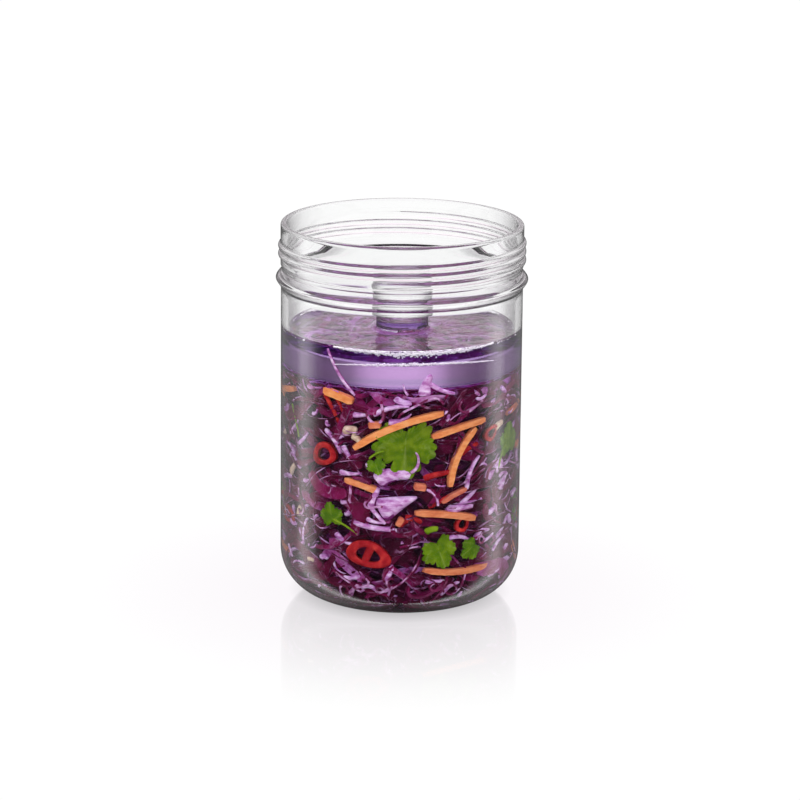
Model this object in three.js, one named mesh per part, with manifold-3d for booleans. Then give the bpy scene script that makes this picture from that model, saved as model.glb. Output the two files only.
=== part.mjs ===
// Fermentation jar
//
// A wide glass jar with a screw neck, filled with shredded vegetables in brine. A glass weight
// with a round knob keeps them under. Millimetres, +Z up, origin at the centre of the underside.
// The front is the -Y side. Turns are degrees round the axis from the front, plus to the right.

import * as THREE from 'three';
import { mergeVertices } from 'three/addons/utils/BufferGeometryUtils.js';
import Module from 'manifold-3d';

const wasm = await Module();
wasm.setup();

// Jar
const BODY_R = 50;
const JAR_H = 158;
const WALL = 2.9;
const FLOOR = 4.6;
const CORNER_R = 19.5;
const PUNT_R = 22;
const PUNT_DEPTH = 1.4;

// Neck, from the bottom: a round bead, a groove, the lip with its thread
const BEAD_Z = 134.8;
const BEAD_R = 52.1;
const BEAD_HALF = 3.3;
const GROOVE_R = 49.5;
const LIP_OUT_R = 50.15;
const LIP_Z = 139.8;
const LIP_ROUND = 1.3;
const LIP_STEP = 0.8;
const MOUTH_R = 47.5;
const MOUTH_ROUND = 1;
const SHOULDER_Z = 128.2;

// Thread
const THREAD_CREST_R = 51.15;
const THREAD_SECTION_R = 1.15;
const THREAD_PITCH = 3.5;
const THREAD_TURNS = 2.62;
const THREAD_Z = 142;
const THREAD_START = -18;
const THREAD_RUNOUT = 0.06;

// Weight
const WEIGHT_R = 43.5;
const WEIGHT_BOTTOM = 98;
const WEIGHT_TOP = 109;
const WEIGHT_ROUND = 3;
const KNOB_R = 12.35;
const KNOB_TOP = 135.5;
const KNOB_UNDER = 121.6;
const KNOB_WAIST_R = 10.75;
const KNOB_WAIST_Z = 115;
const KNOB_FOOT_R = 11.9;
const KNOB_FOOT_Z = 111.5;
const KNOB_FILLET = 2;
const KNOB_ROUND = 1.6;
const WEIGHT_SHIFT = 0.3;

// Vegetables
const GAP = 0.35;
const HEAP_TOP = 97.6;
const CORE_SINK = 1.7;
const CORE_TOP = 95.6;
const LOWEST_PIECE = 6.45;
const SHRED_T = 1.6;
const CARROT_W = 3.2;
const CARROT_T = 3;
const PEPPER_T = 2.6;
const PEPPER_RIM = 1.9;
const LEAF_T = 1.2;
const CHIP_T = 2.6;
const TOP_T = 2.4;
const GOLDEN_TURN = 137.508;

// Facets
const JAR_SIDES = 56;
const WEIGHT_SIDES = 32;
const CORE_SIDES = 36;

const rad = THREE.MathUtils.degToRad;

// Seeded random numbers, so that every build gives the same heap
let seed = 20417;
function random(low = 0, high = 1) {
  seed = (seed * 1664525 + 1013904223) % 4294967296;
  return low + (high - low) * seed / 4294967296;
}

// Solids

function welded(geometry) {
  geometry.deleteAttribute('normal');
  geometry.deleteAttribute('uv');
  return mergeVertices(geometry, 1e-4);
}

function signedVolume(positions, triangles) {
  const a = new THREE.Vector3();
  const b = new THREE.Vector3();
  const c = new THREE.Vector3();
  let sum = 0;
  for (let i = 0; i < triangles.length; i += 3) {
    a.fromArray(positions, triangles[i] * 3);
    b.fromArray(positions, triangles[i + 1] * 3);
    c.fromArray(positions, triangles[i + 2] * 3);
    sum += a.dot(b.cross(c));
  }
  return sum / 6;
}

// A closed geometry as a solid, turned to face outward
function solid(geometry) {
  const merged = welded(geometry);
  const vertProperties = new Float32Array(merged.attributes.position.array);
  const triVerts = new Uint32Array(merged.index.array);
  if (signedVolume(vertProperties, triVerts) < 0) {
    for (let i = 0; i < triVerts.length; i += 3) {
      [triVerts[i], triVerts[i + 1]] = [triVerts[i + 1], triVerts[i]];
    }
  }
  return new wasm.Manifold(new wasm.Mesh({ numProp: 3, vertProperties, triVerts }));
}

function geometryOf(manifold) {
  const mesh = manifold.getMesh();
  const geometry = new THREE.BufferGeometry();
  geometry.setAttribute('position', new THREE.BufferAttribute(mesh.vertProperties, 3));
  geometry.setIndex(new THREE.BufferAttribute(mesh.triVerts, 1));
  return geometry;
}

// A profile of [radius, height] points turned round the upright axis
function turned(profile, sides) {
  const points = profile.map(([r, z]) => new THREE.Vector2(r, z));
  return new THREE.LatheGeometry(points, sides).rotateX(Math.PI / 2);
}

// Points of an arc in the profile plane, from one angle to another, both ends included
function arc(r, z, radius, from, to, steps) {
  return Array.from({ length: steps + 1 }, (_, i) => {
    const angle = rad(from + (to - from) * i / steps);
    return [r + radius * Math.cos(angle), z + radius * Math.sin(angle)];
  });
}

// Jar

const INNER_R = BODY_R - WALL;
const INNER_CORNER = CORNER_R - WALL;

// The inside of the rounded corner, from the straight wall down to the floor
const CORNER = arc(INNER_R - INNER_CORNER, FLOOR + INNER_CORNER, INNER_CORNER, 0, -90, 4);

function jarProfile() {
  const punt = Array.from({ length: 3 }, (_, i) => {
    const r = PUNT_R * i / 2;
    return [r, PUNT_DEPTH * Math.cos(Math.PI / 2 * i / 2)];
  });
  const bead = Array.from({ length: 5 }, (_, i) => {
    const t = i / 4;
    const neck = THREE.MathUtils.lerp(BODY_R, GROOVE_R, t);
    return [neck + (BEAD_R - neck) * Math.sin(Math.PI * t), BEAD_Z + BEAD_HALF * (2 * t - 1)];
  });
  return [
    ...punt,
    ...arc(BODY_R - CORNER_R, CORNER_R, CORNER_R, -90, 0, 5),
    ...bead,
    [GROOVE_R, LIP_Z],
    [LIP_OUT_R, LIP_Z + LIP_STEP],
    ...arc(LIP_OUT_R - LIP_ROUND, JAR_H - LIP_ROUND, LIP_ROUND, 0, 90, 3),
    ...arc(MOUTH_R + MOUTH_ROUND, JAR_H - MOUTH_ROUND, MOUTH_ROUND, 90, 180, 2),
    [MOUTH_R, LIP_Z],
    [INNER_R, SHOULDER_Z],
    ...CORNER,
    [0, FLOOR],
  ];
}

// The thread's middle line climbs to the right at the front, and both ends dive into the wall
class ThreadLine extends THREE.Curve {
  getPoint(t, target = new THREE.Vector3()) {
    const turn = THREAD_START + 360 * THREAD_TURNS * t;
    const ends = Math.min(t, 1 - t, THREAD_RUNOUT) / THREAD_RUNOUT;
    const r = THREAD_CREST_R - THREAD_SECTION_R * (2 - ends);
    const z = THREAD_Z + THREAD_PITCH * THREAD_TURNS * t;
    return target.set(r * Math.sin(rad(turn)), -r * Math.cos(rad(turn)), z);
  }
}

function thread() {
  const section = new THREE.Shape().absarc(0, 0, THREAD_SECTION_R, 0, 2 * Math.PI);
  return new THREE.ExtrudeGeometry(section, {
    curveSegments: 3,
    steps: Math.round(24 * THREAD_TURNS),
    extrudePath: new ThreadLine(),
  });
}

function jar() {
  return solid(turned(jarProfile(), JAR_SIDES)).add(solid(thread()));
}

// Weight

function weightProfile() {
  return [
    [0, WEIGHT_BOTTOM],
    ...arc(WEIGHT_R - WEIGHT_ROUND, WEIGHT_BOTTOM + WEIGHT_ROUND, WEIGHT_ROUND, -90, 0, 3),
    ...arc(WEIGHT_R - WEIGHT_ROUND, WEIGHT_TOP - WEIGHT_ROUND, WEIGHT_ROUND, 0, 90, 3),
    [KNOB_FOOT_R + KNOB_FILLET, WEIGHT_TOP],
    [KNOB_FOOT_R + KNOB_FILLET / 4, WEIGHT_TOP + KNOB_FILLET / 4],
    [KNOB_FOOT_R, KNOB_FOOT_Z],
    [KNOB_WAIST_R, KNOB_WAIST_Z],
    [KNOB_WAIST_R, KNOB_UNDER - KNOB_ROUND / 3],
    ...arc(KNOB_R - KNOB_ROUND / 2, KNOB_UNDER + KNOB_ROUND / 2, KNOB_ROUND / 2, -90, 0, 2),
    ...arc(KNOB_R - KNOB_ROUND, KNOB_TOP - KNOB_ROUND, KNOB_ROUND, 0, 90, 3),
    [0, KNOB_TOP],
  ];
}

// Vegetables
//
// Each piece is cut out flat, with its face on the plane z = 0 and its thickness below that, and
// is then bent round the inside of the jar, or laid on the top of the heap.

// Radius of the jar's inner wall at a height
function innerRadius(z) {
  const next = CORNER.findIndex(([, height]) => height < z);
  if (next === 0) return INNER_R;
  const [[r0, z0], [r1, z1]] = [CORNER[next - 1], CORNER[next]];
  return THREE.MathUtils.mapLinear(z, z0, z1, r0, r1);
}

// Bends a flat piece round the wall: its x runs round the jar and its y climbs the wall
function onWall(geometry, { turn, z, tilt = 0, sink = 0 }) {
  geometry.rotateZ(rad(tilt));
  const position = geometry.attributes.position;
  for (let i = 0; i < position.count; i++) {
    const height = Math.max(z + position.getY(i), LOWEST_PIECE);
    const r = innerRadius(height) - GAP - sink + position.getZ(i);
    const angle = rad(turn) + position.getX(i) / INNER_R;
    position.setXYZ(i, r * Math.sin(angle), -r * Math.cos(angle), height);
  }
  return solid(geometry);
}

// Lays a flat piece on the top of the heap
function onTop(geometry, { turn, r, tilt = 0, lift = 0 }) {
  geometry.rotateZ(rad(tilt));
  const x = r * Math.sin(rad(turn));
  const y = -r * Math.cos(rad(turn));
  geometry.translate(x, y, HEAP_TOP + lift);
  return solid(geometry);
}

function plate(shape, thickness) {
  const depth = { depth: thickness, bevelEnabled: false, steps: 1, curveSegments: 2 };
  return new THREE.ExtrudeGeometry(shape, depth).translate(0, 0, -thickness);
}

// A ribbon whose middle line bends as an arc and sways once, with blunt ends
function ribbon({ length, width, bend = 0, sway = 0, stations = 4 }) {
  const sides = [[], []];
  for (let i = 0; i <= stations; i++) {
    const t = i / stations - 0.5;
    const x = length * t;
    const y = bend * (0.25 - t * t) * 4 + sway * Math.sin(2 * Math.PI * t);
    const slope = (-8 * bend * t + 2 * Math.PI * sway * Math.cos(2 * Math.PI * t)) / length;
    const normal = new THREE.Vector2(-slope, 1).normalize();
    const half = width / 2 * (1 - 0.5 * (2 * Math.abs(t)) ** 4);
    sides[0].push(new THREE.Vector2(x + normal.x * half, y + normal.y * half));
    sides[1].unshift(new THREE.Vector2(x - normal.x * half, y - normal.y * half));
  }
  return new THREE.Shape([...sides[0], ...sides[1]]);
}

// A ring of pepper, a little uneven, with its hole
function hoop({ radius, rim, sides = 9 }) {
  const outline = (r) => Array.from({ length: sides }, (_, i) => {
    const angle = 2 * Math.PI * i / sides;
    return new THREE.Vector2(1.12 * r * Math.cos(angle), 0.9 * r * Math.sin(angle));
  });
  const shape = new THREE.Shape(outline(radius));
  shape.holes.push(new THREE.Path(outline(radius - rim).reverse()));
  return shape;
}

// A herb leaf: a fan of round lobes on a short stalk
function leafOutline(size) {
  const points = [new THREE.Vector2(-0.05 * size, -0.5 * size)];
  const lobes = 3;
  const perLobe = 4;
  for (let i = 0; i <= lobes * perLobe; i++) {
    const t = i / (lobes * perLobe);
    const angle = rad(215 - 250 * t);
    const r = size * (0.36 + 0.16 * Math.abs(Math.sin(Math.PI * lobes * t)));
    points.push(new THREE.Vector2(r * Math.cos(angle), r * Math.sin(angle) + 0.04 * size));
  }
  points.push(new THREE.Vector2(0.05 * size, -0.5 * size));
  return new THREE.Shape(points.reverse());
}

function leaf(size, wave = 0.25) {
  const geometry = plate(leafOutline(size), LEAF_T);
  const position = geometry.attributes.position;
  for (let i = 0; i < position.count; i++) {
    const swell = Math.sin(position.getX(i) * 7 / size) * Math.cos(position.getY(i) * 6 / size);
    position.setZ(i, position.getZ(i) + wave * (swell - 1));
  }
  return geometry;
}

// An uneven slice with a few corners
function chip(length, width, corners = 5) {
  const points = Array.from({ length: corners }, (_, i) => {
    const angle = 2 * Math.PI * (i + random(-0.2, 0.2)) / corners;
    return new THREE.Vector2(length / 2 * Math.cos(angle), width / 2 * Math.sin(angle));
  });
  return new THREE.Shape(points);
}

function core() {
  const r = INNER_R - GAP - CORE_SINK;
  const corner = INNER_CORNER;
  const low = LOWEST_PIECE - 0.5;
  return turned([
    [0, low],
    ...arc(r - corner, low + corner, corner, -90, 0, 4),
    [r, CORE_TOP - 2],
    [r - 2, CORE_TOP],
    [0, CORE_TOP],
  ], CORE_SIDES);
}

// Pieces that show plainly at the front: [turn, z, tilt, length, width, bend]
const CARROTS = [
  [-2, 82, 22, 40, 3.4, 1.5],
  [30, 81, 8, 25, 3.2, 0.6],
  [33, 69, 62, 27, 3.2, 2.4],
  [-33, 95, 24, 14, 3, 0.3],
  [-20, 58, 20, 15, 3.2, 0.4],
  [24, 45.5, -14, 27, 3.3, 0.8],
  [31, 20.5, -3, 31, 3.2, 1.0],
];
const PEPPER_RINGS = [[-41, 68.5, 9, 12], [-16, 28.5, 10, 0], [51, 76.5, 6.5, 30], [33, 40, 6, 70]];
const LEAVES = [[2, 74.5, 23, -8], [-36, 43, 12, 35], [22, 31, 16, -70], [42, 26, 12, 20], [67, 70, 15, 0]];
const RIBS = [
  [2, 61, 2, 14, 5],
  [0, 49.5, -8, 18, 9],
  [-13, 53, 50, 12, 5],
  [37, 47, 6, 13, 4.5],
  [58, 61, 70, 9, 6],
  [-3, 90, 30, 12, 5],
];
const GARLIC = [[-67, 57.5, 6], [-24.5, 79, 7], [57, 78.5, 6], [-52, 20, 5]];

function placedPieces() {
  const carrots = CARROTS.map(([turn, z, tilt, length, width, bend]) => (
    onWall(plate(ribbon({ length, width, bend }), CARROT_T), { turn, z, tilt })));
  const rings = PEPPER_RINGS.map(([turn, z, size, tilt]) => (
    onWall(plate(hoop({ radius: size / 2, rim: PEPPER_RIM }), PEPPER_T), { turn, z, tilt })));
  const leaves = LEAVES.map(([turn, z, size, tilt]) => onWall(leaf(size), { turn, z, tilt, sink: 0.2 }));
  const ribs = RIBS.map(([turn, z, tilt, length, width]) => (
    onWall(plate(chip(length, width), CHIP_T), { turn, z, tilt })));
  const garlic = GARLIC.map(([turn, z, size]) => (
    onWall(plate(chip(size, size * 0.6, 4), CHIP_T), { turn, z, tilt: 3 * z })));
  return [...carrots, ...rings, ...leaves, ...ribs, ...garlic];
}

// The rest of the wall, spread evenly: turns step by the golden angle while heights climb
function spreadRound(count, low, high, make) {
  return Array.from({ length: count }, (_, i) => {
    const turn = GOLDEN_TURN * i + random(-12, 12);
    const z = low + (high - low) * (i + random(0.2, 0.8)) / count;
    return make({ turn, z, tilt: random(-35, 35) });
  });
}

// Carrot and herbs away from the front, where no placed piece is
function spreadBehind(count, make) {
  return Array.from({ length: count }, (_, i) => {
    const turn = 90 + 180 * (i + 0.5) / count;
    const z = 14 + (HEAP_TOP - 24) * ((i * 0.618) % 1);
    return make({ turn, z, tilt: random(-40, 40) });
  });
}

function cabbage(place) {
  const shape = ribbon({
    length: random(22, 40),
    width: random(2.2, 3.8),
    bend: random(-5, 5),
    sway: random(-1.2, 1.2),
  });
  return onWall(plate(shape, SHRED_T), { ...place, sink: random(0.2, 0.5) });
}

function wallPieces() {
  const carrot = ribbon({ length: 26, width: CARROT_W, bend: 1.5, stations: 3 });
  const ring = hoop({ radius: 4.5, rim: PEPPER_RIM });
  return [
    ...spreadRound(24, 10, HEAP_TOP - 7, cabbage),
    ...spreadBehind(6, (place) => onWall(plate(carrot, CARROT_T), place)),
    ...spreadBehind(3, (place) => (
      onWall(plate(ring, PEPPER_T), { ...place, turn: place.turn + 14 }))),
    ...spreadBehind(3, (place) => (
      onWall(leaf(16), { ...place, turn: place.turn - 12, z: place.z * 0.8 + 10, sink: 0.2 }))),
  ];
}

// The top of the heap, under the weight
function topPieces() {
  const count = 10;
  const shreds = Array.from({ length: count }, (_, i) => onTop(
    plate(ribbon({ length: random(20, 32), width: 3, bend: random(-4, 4), stations: 3 }), TOP_T),
    {
      turn: GOLDEN_TURN * i,
      r: 29 * Math.sqrt((i + 0.5) / count),
      tilt: random(0, 180),
      lift: -random(0, 0.8),
    },
  ));
  const stick = ribbon({ length: 24, width: CARROT_W, stations: 3 });
  const carrots = [20, 140, 250].map((turn) => (
    onTop(plate(stick, TOP_T), { turn, r: 22, tilt: turn + 35 })));
  const leaves = [-60, 5, 190].map((turn) => onTop(leaf(20), { turn, r: 24, tilt: turn }));
  return [...shreds, ...carrots, ...leaves];
}

// Strands that rise beside the weight, in the gap between it and the wall
function risingStrands() {
  const strands = [[-31, 98, 40, 28], [15, 98, -38, 22], [118, 98, 45, 26], [205, 98, -44, 24]];
  return strands.map(([turn, z, tilt, length]) => (
    onWall(plate(ribbon({ length, width: 2.4, bend: 1.2 }), 2), { turn, z, tilt })));
}

function vegetables() {
  const pieces = [solid(core()), ...placedPieces(), ...wallPieces(), ...topPieces(), ...risingStrands()];
  const heap = pieces.reduce((whole, piece) => whole.add(piece));
  // The outer shell alone, so that hollows sealed between pieces are filled
  return heap.decompose().reduce((outer, shell) => (shell.volume() > outer.volume() ? shell : outer));
}

// The whole

function mesh(name, geometry, colour, roughness) {
  const material = new THREE.MeshStandardMaterial({ color: colour, roughness, metalness: 0 });
  const result = new THREE.Mesh(geometry, material);
  result.name = name;
  return result;
}

const fermentationJar = new THREE.Group();

fermentationJar.add(mesh('jar', geometryOf(jar()), 0xdfe8e6, 0.05));

const weight = mesh('weight', welded(turned(weightProfile(), WEIGHT_SIDES)), 0xe4ebea, 0.05);
weight.position.set(WEIGHT_SHIFT, 0, 0);
fermentationJar.add(weight);

fermentationJar.add(mesh('vegetables', geometryOf(vegetables()), 0x7a2350, 0.6));

export default fermentationJar;
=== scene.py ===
# %% [markdown]
# Fermentation jar
#
# A wide glass jar full of shredded red cabbage, carrot, pepper and herbs in purple brine. A glass
# weight with a round knob holds the vegetables under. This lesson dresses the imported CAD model,
# piece by piece, in the same frame. Sizes of the jar and of what is in it are in millimetres, which
# MM turns into Blender's metres. The camera, the lamps and the sheet are placed in metres.

# %% Load the frame
import math
import random

import bpy
import numpy as np
from mathutils import Matrix, Vector


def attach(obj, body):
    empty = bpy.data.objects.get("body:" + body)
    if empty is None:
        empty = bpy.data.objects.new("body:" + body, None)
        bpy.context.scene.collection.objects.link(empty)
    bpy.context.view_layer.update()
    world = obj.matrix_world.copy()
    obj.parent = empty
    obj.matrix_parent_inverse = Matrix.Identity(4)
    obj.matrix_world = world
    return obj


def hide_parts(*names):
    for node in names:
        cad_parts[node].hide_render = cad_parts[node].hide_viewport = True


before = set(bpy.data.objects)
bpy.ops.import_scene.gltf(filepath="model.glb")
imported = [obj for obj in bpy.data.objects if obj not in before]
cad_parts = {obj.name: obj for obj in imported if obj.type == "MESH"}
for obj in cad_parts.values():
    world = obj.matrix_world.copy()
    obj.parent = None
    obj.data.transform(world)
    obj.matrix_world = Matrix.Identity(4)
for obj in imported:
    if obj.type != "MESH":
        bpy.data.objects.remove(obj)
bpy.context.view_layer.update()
MM = 0.001

# %% [markdown]
# Glass, water and wet vegetables bounce light many times before it reaches the eye. A ray that
# crosses the jar meets up to ten surfaces of glass or brine, so the limit on bounces is set high
# enough that no ray goes black half way. Shadow rays pass each of those surfaces by a clear shader,
# so their limit is raised too. The plain view transform keeps white as white.

# %% Light paths and the view transform
scene = bpy.context.scene
scene.cycles.max_bounces = 28
scene.cycles.transmission_bounces = 24
scene.cycles.glossy_bounces = 8
scene.cycles.diffuse_bounces = 3
scene.cycles.transparent_max_bounces = 32
scene.cycles.sample_clamp_indirect = 6
scene.cycles.caustics_reflective = False
scene.cycles.caustics_refractive = True
scene.cycles.use_denoising = True
scene.view_settings.view_transform = "Standard"
print("bounces", scene.cycles.max_bounces)

# %% [markdown]
# The photograph was taken with a long lens from a little above the rim, so the mouth shows as a
# flat ellipse and the sides stay almost upright. The camera stands where the jar's outline says:
# 1.56 m away, 14.7 degrees up, and turned half a degree round its own axis.

# %% Camera
CAMERA_DISTANCE = 1.5555
CAMERA_ELEVATION = math.radians(14.68)
CAMERA_TARGET = Vector((-0.00036, 0, 0.0822))
CAMERA_AIM_HEIGHT = 0.082
CAMERA_LENS = 168.06
CAMERA_ROLL = math.radians(0.536)


def add_camera():
    place = Vector((
        0,
        -CAMERA_DISTANCE * math.cos(CAMERA_ELEVATION),
        CAMERA_AIM_HEIGHT + CAMERA_DISTANCE * math.sin(CAMERA_ELEVATION),
    ))
    bpy.ops.object.camera_add(location=place)
    camera = bpy.context.object
    look = (CAMERA_TARGET - place).to_track_quat("-Z", "Y").to_matrix().to_4x4()
    camera.rotation_euler = (look @ Matrix.Rotation(CAMERA_ROLL, 4, "Z")).to_euler()
    camera.data.lens = CAMERA_LENS
    camera.data.sensor_width = 36
    camera.data.dof.use_dof = False
    scene.camera = camera
    return camera


camera = add_camera()
print("camera at", [round(c, 3) for c in camera.location])

# %% [markdown]
# A node material is a small machine of boxes and wires. These helpers put down the boxes that come
# again and again, so that each material below reads as a list of what it does.

# %% Helpers for nodes


def box_node(tree, kind, **options):
    node = tree.nodes.new(kind)
    for key, value in options.items():
        setattr(node, key, value)
    return node


def put(node, **values):
    """Set sockets by name, with _ for a blank."""
    for key, value in values.items():
        node.inputs[key.replace("_", " ")].default_value = value
    return node


def wire(tree, source, target):
    tree.links.new(source, target)


def number(tree, operation, *terms):
    """A Math node whose inputs are sockets or plain numbers."""
    node = box_node(tree, "ShaderNodeMath", operation=operation)
    for slot, value in enumerate(terms):
        if isinstance(value, (int, float)):
            node.inputs[slot].default_value = value
        else:
            wire(tree, value, node.inputs[slot])
    return node.outputs[0]


def ramp(tree, factor, stops):
    """A colour ramp from (place, colour) stops; a plain number is a grey."""
    node = box_node(tree, "ShaderNodeValToRGB")
    elements = node.color_ramp.elements
    while len(elements) < len(stops):
        elements.new(0.5)
    for element, (place, colour) in zip(elements, stops):
        element.position = place
        grey = isinstance(colour, (int, float))
        element.color = (colour, colour, colour, 1) if grey else (*colour, 1)
    wire(tree, factor, node.inputs["Fac"])
    return node.outputs["Color"]


def mix(tree, factor, first, second, blend="MIX"):
    """Mix two colours; each is a socket or a plain colour."""
    node = box_node(tree, "ShaderNodeMix", data_type="RGBA", blend_type=blend)
    places = (node.inputs[0], node.inputs[6], node.inputs[7])
    for place, value in zip(places, (factor, first, second)):
        if isinstance(value, (int, float)):
            place.default_value = value
        elif isinstance(value, tuple):
            place.default_value = (*value, 1)
        else:
            wire(tree, value, place)
    return node.outputs[2]


def mix_shaders(tree, factor, first, second):
    node = box_node(tree, "ShaderNodeMixShader")
    if isinstance(factor, float):
        node.inputs[0].default_value = factor
    else:
        wire(tree, factor, node.inputs[0])
    wire(tree, first.outputs[0], node.inputs[1])
    wire(tree, second.outputs[0], node.inputs[2])
    return node


def map_range(tree, value, **limits):
    node = put(box_node(tree, "ShaderNodeMapRange"), **limits)
    wire(tree, value, node.inputs["Value"])
    return node.outputs[0]


def place_on(tree):
    """Object coordinates, which stay with the piece."""
    return box_node(tree, "ShaderNodeTexCoord").outputs["Object"]


def attribute(tree, name):
    return box_node(tree, "ShaderNodeAttribute", attribute_name=name).outputs["Fac"]


def noise_at(tree, place, scale, detail=3.0, stretch=None, roughness=0.5):
    if stretch is not None:
        mapping = box_node(tree, "ShaderNodeMapping")
        mapping.inputs["Scale"].default_value = stretch
        wire(tree, place, mapping.inputs["Vector"])
        place = mapping.outputs[0]
    node = put(box_node(tree, "ShaderNodeTexNoise"), Scale=scale, Detail=detail, Roughness=roughness)
    wire(tree, place, node.inputs["Vector"])
    return node.outputs["Fac"]


def bump(tree, height, strength, distance):
    node = put(box_node(tree, "ShaderNodeBump"), Strength=strength, Distance=distance)
    wire(tree, height, node.inputs["Height"])
    return node.outputs["Normal"]


def new_material(name):
    material = bpy.data.materials.new(name)
    material.use_nodes = True
    material.node_tree.nodes.clear()
    return material, material.node_tree


def finish_material(tree, shader, volume=None):
    output = box_node(tree, "ShaderNodeOutputMaterial")
    wire(tree, shader.outputs[0], output.inputs["Surface"])
    if volume is not None:
        wire(tree, volume.outputs[0], output.inputs["Volume"])


print("node helpers ready")

# %% [markdown]
# The studio is white all round, but glass only looks like glass when something dark bends in its
# edges. So the surroundings depend on who asks. The camera sees clean white. Light that glass
# reflects sees white above the horizon. Below it, where the upright wall looks, it sees a soft box
# at each side and a dim front and back. Light that goes through glass sees white, with grey at the
# sides just above the horizon and a grey ceiling that is bright straight overhead. Those greys draw
# the thin dark lines of rim and thread.

# %% Surroundings
ROOM_LIGHT = 0.62
CLEAN_WHITE = 1.02
# each ramp goes by height, 0 down to 1 up, or by turn, 0 at the front to 1 at the back
SIDE_TURN_RAMP = [
    (0.0, 0.015), (0.39, 0.02), (0.47, 0.2), (0.54, 0.7), (0.6, 1.0), (0.66, 0.95), (0.74, 0.34),
    (0.84, 0.2), (0.95, 0.14), (1.0, 0.03)]
SIDE_STRENGTH = 3.0
ABOVE = (1.0, 0.94, 0.985)
THROUGH_HEIGHT_RAMP = [
    (0.0, 1.0), (0.55, 1.0), (0.59, (1.2, 1.0, 1.13)), (0.66, (1.16, 0.98, 1.1)),
    (0.72, (0.85, 0.82, 0.85)), (0.9, 0.6), (0.95, 1.4)]
# where in height the turn matters: just above the horizon
TURN_MATTERS_RAMP = [(0.48, 0.0), (0.52, 1.0), (0.66, 1.0), (0.72, 0.0)]
THROUGH_TURN_RAMP = [
    (0.0, 0.8), (0.08, 0.7), (0.22, 0.36), (0.5, 0.3), (0.8, 0.3), (0.93, 0.22), (0.955, 0.25),
    (0.978, 0.4), (0.992, 0.85), (1.0, 0.98)]


def build_world():
    world = bpy.data.worlds.new("studio")
    world.use_nodes = True
    scene.world = world
    tree = world.node_tree
    tree.nodes.clear()
    direction = box_node(tree, "ShaderNodeTexCoord").outputs["Generated"]
    split = box_node(tree, "ShaderNodeSeparateXYZ")
    wire(tree, direction, split.inputs[0])
    x, y, z = split.outputs
    flat = number(tree, "SQRT", number(tree, "SUBTRACT", 1.0, number(tree, "MULTIPLY", z, z)))
    back = number(tree, "DIVIDE", y, number(tree, "MAXIMUM", flat, 0.001))
    turn = number(tree, "MULTIPLY_ADD", back, 0.5, 0.5)
    height = number(tree, "MULTIPLY_ADD", z, 0.5, 0.5)
    reflected = box_node(tree, "ShaderNodeVectorMath", operation="SCALE")
    wire(tree, ramp(tree, turn, SIDE_TURN_RAMP), reflected.inputs[0])
    reflected.inputs["Scale"].default_value = SIDE_STRENGTH
    upward = ramp(tree, height, [(0.47, 0.0), (0.53, 1.0)])
    mirrored = mix(tree, upward, reflected.outputs[0], ABOVE)
    through = mix(
        tree, ramp(tree, height, TURN_MATTERS_RAMP), ramp(tree, height, THROUGH_HEIGHT_RAMP),
        ramp(tree, turn, THROUGH_TURN_RAMP), "MULTIPLY")
    path = box_node(tree, "ShaderNodeLightPath")
    seen = mix(tree, path.outputs["Is Glossy Ray"], (ROOM_LIGHT,) * 3, mirrored)
    seen = mix(tree, path.outputs["Is Transmission Ray"], seen, through)
    seen = mix(tree, path.outputs["Is Camera Ray"], seen, (CLEAN_WHITE,) * 3)
    background = box_node(tree, "ShaderNodeBackground")
    wire(tree, seen, background.inputs["Color"])
    output = box_node(tree, "ShaderNodeOutputWorld")
    wire(tree, background.outputs[0], output.inputs["Surface"])


build_world()
print("room light", ROOM_LIGHT)

# %% [markdown]
# Four soft lamps light the vegetables through the glass. They would show as hard white patches
# in the glass, so they are kept out of reflections, where the soft boxes of the surroundings
# already do that work.

# %% Lamps
LAMPS = {
    "front_left": dict(place=(-0.75, -1.0, 0.75), size=0.7, power=13.5),
    "front_right": dict(place=(0.85, -0.8, 0.55), size=0.6, power=9),
    "top": dict(place=(0.05, 0.15, 1.15), size=0.9, power=20),
    "behind": dict(place=(0.1, 1.1, 0.7), size=0.8, power=12),
}


def add_lamp(name, place, size, power):
    bpy.ops.object.light_add(type="AREA", location=place)
    lamp = bpy.context.object
    lamp.name = name
    lamp.data.size = size
    lamp.data.energy = power
    aim = CAMERA_TARGET - Vector(place)
    lamp.rotation_euler = aim.to_track_quat("-Z", "Y").to_euler()
    lamp.visible_camera = False
    lamp.visible_glossy = False
    lamp.visible_transmission = False
    return lamp


for lamp_name, settings in LAMPS.items():
    add_lamp(lamp_name, **settings)
print("lamps", len(LAMPS))

# %% [markdown]
# Turned shapes, such as a jar, are made as a potter or a glass mould makes them: one outline goes
# round an axis. In Blender that is a chain of extruded points and the Spin tool. Each helper
# below starts by deselecting everything, because operators act on all that is selected.

# %% Helpers for modelling
MERGE_GAP = 0.002


def deselect():
    if bpy.context.mode != "OBJECT":
        bpy.ops.object.mode_set(mode="OBJECT")
    bpy.ops.object.select_all(action="DESELECT")


def start(name):
    """Name the object that an operator has just added, and go into edit mode."""
    piece = bpy.context.object
    piece.name = name
    piece.data.name = name
    bpy.ops.object.mode_set(mode="EDIT")
    return piece


def place_in_mesh(piece):
    """Leave edit mode and move the object's place into its mesh."""
    deselect()
    piece.select_set(True)
    bpy.context.view_layer.objects.active = piece
    bpy.ops.object.transform_apply(location=True, rotation=True, scale=True)


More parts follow.
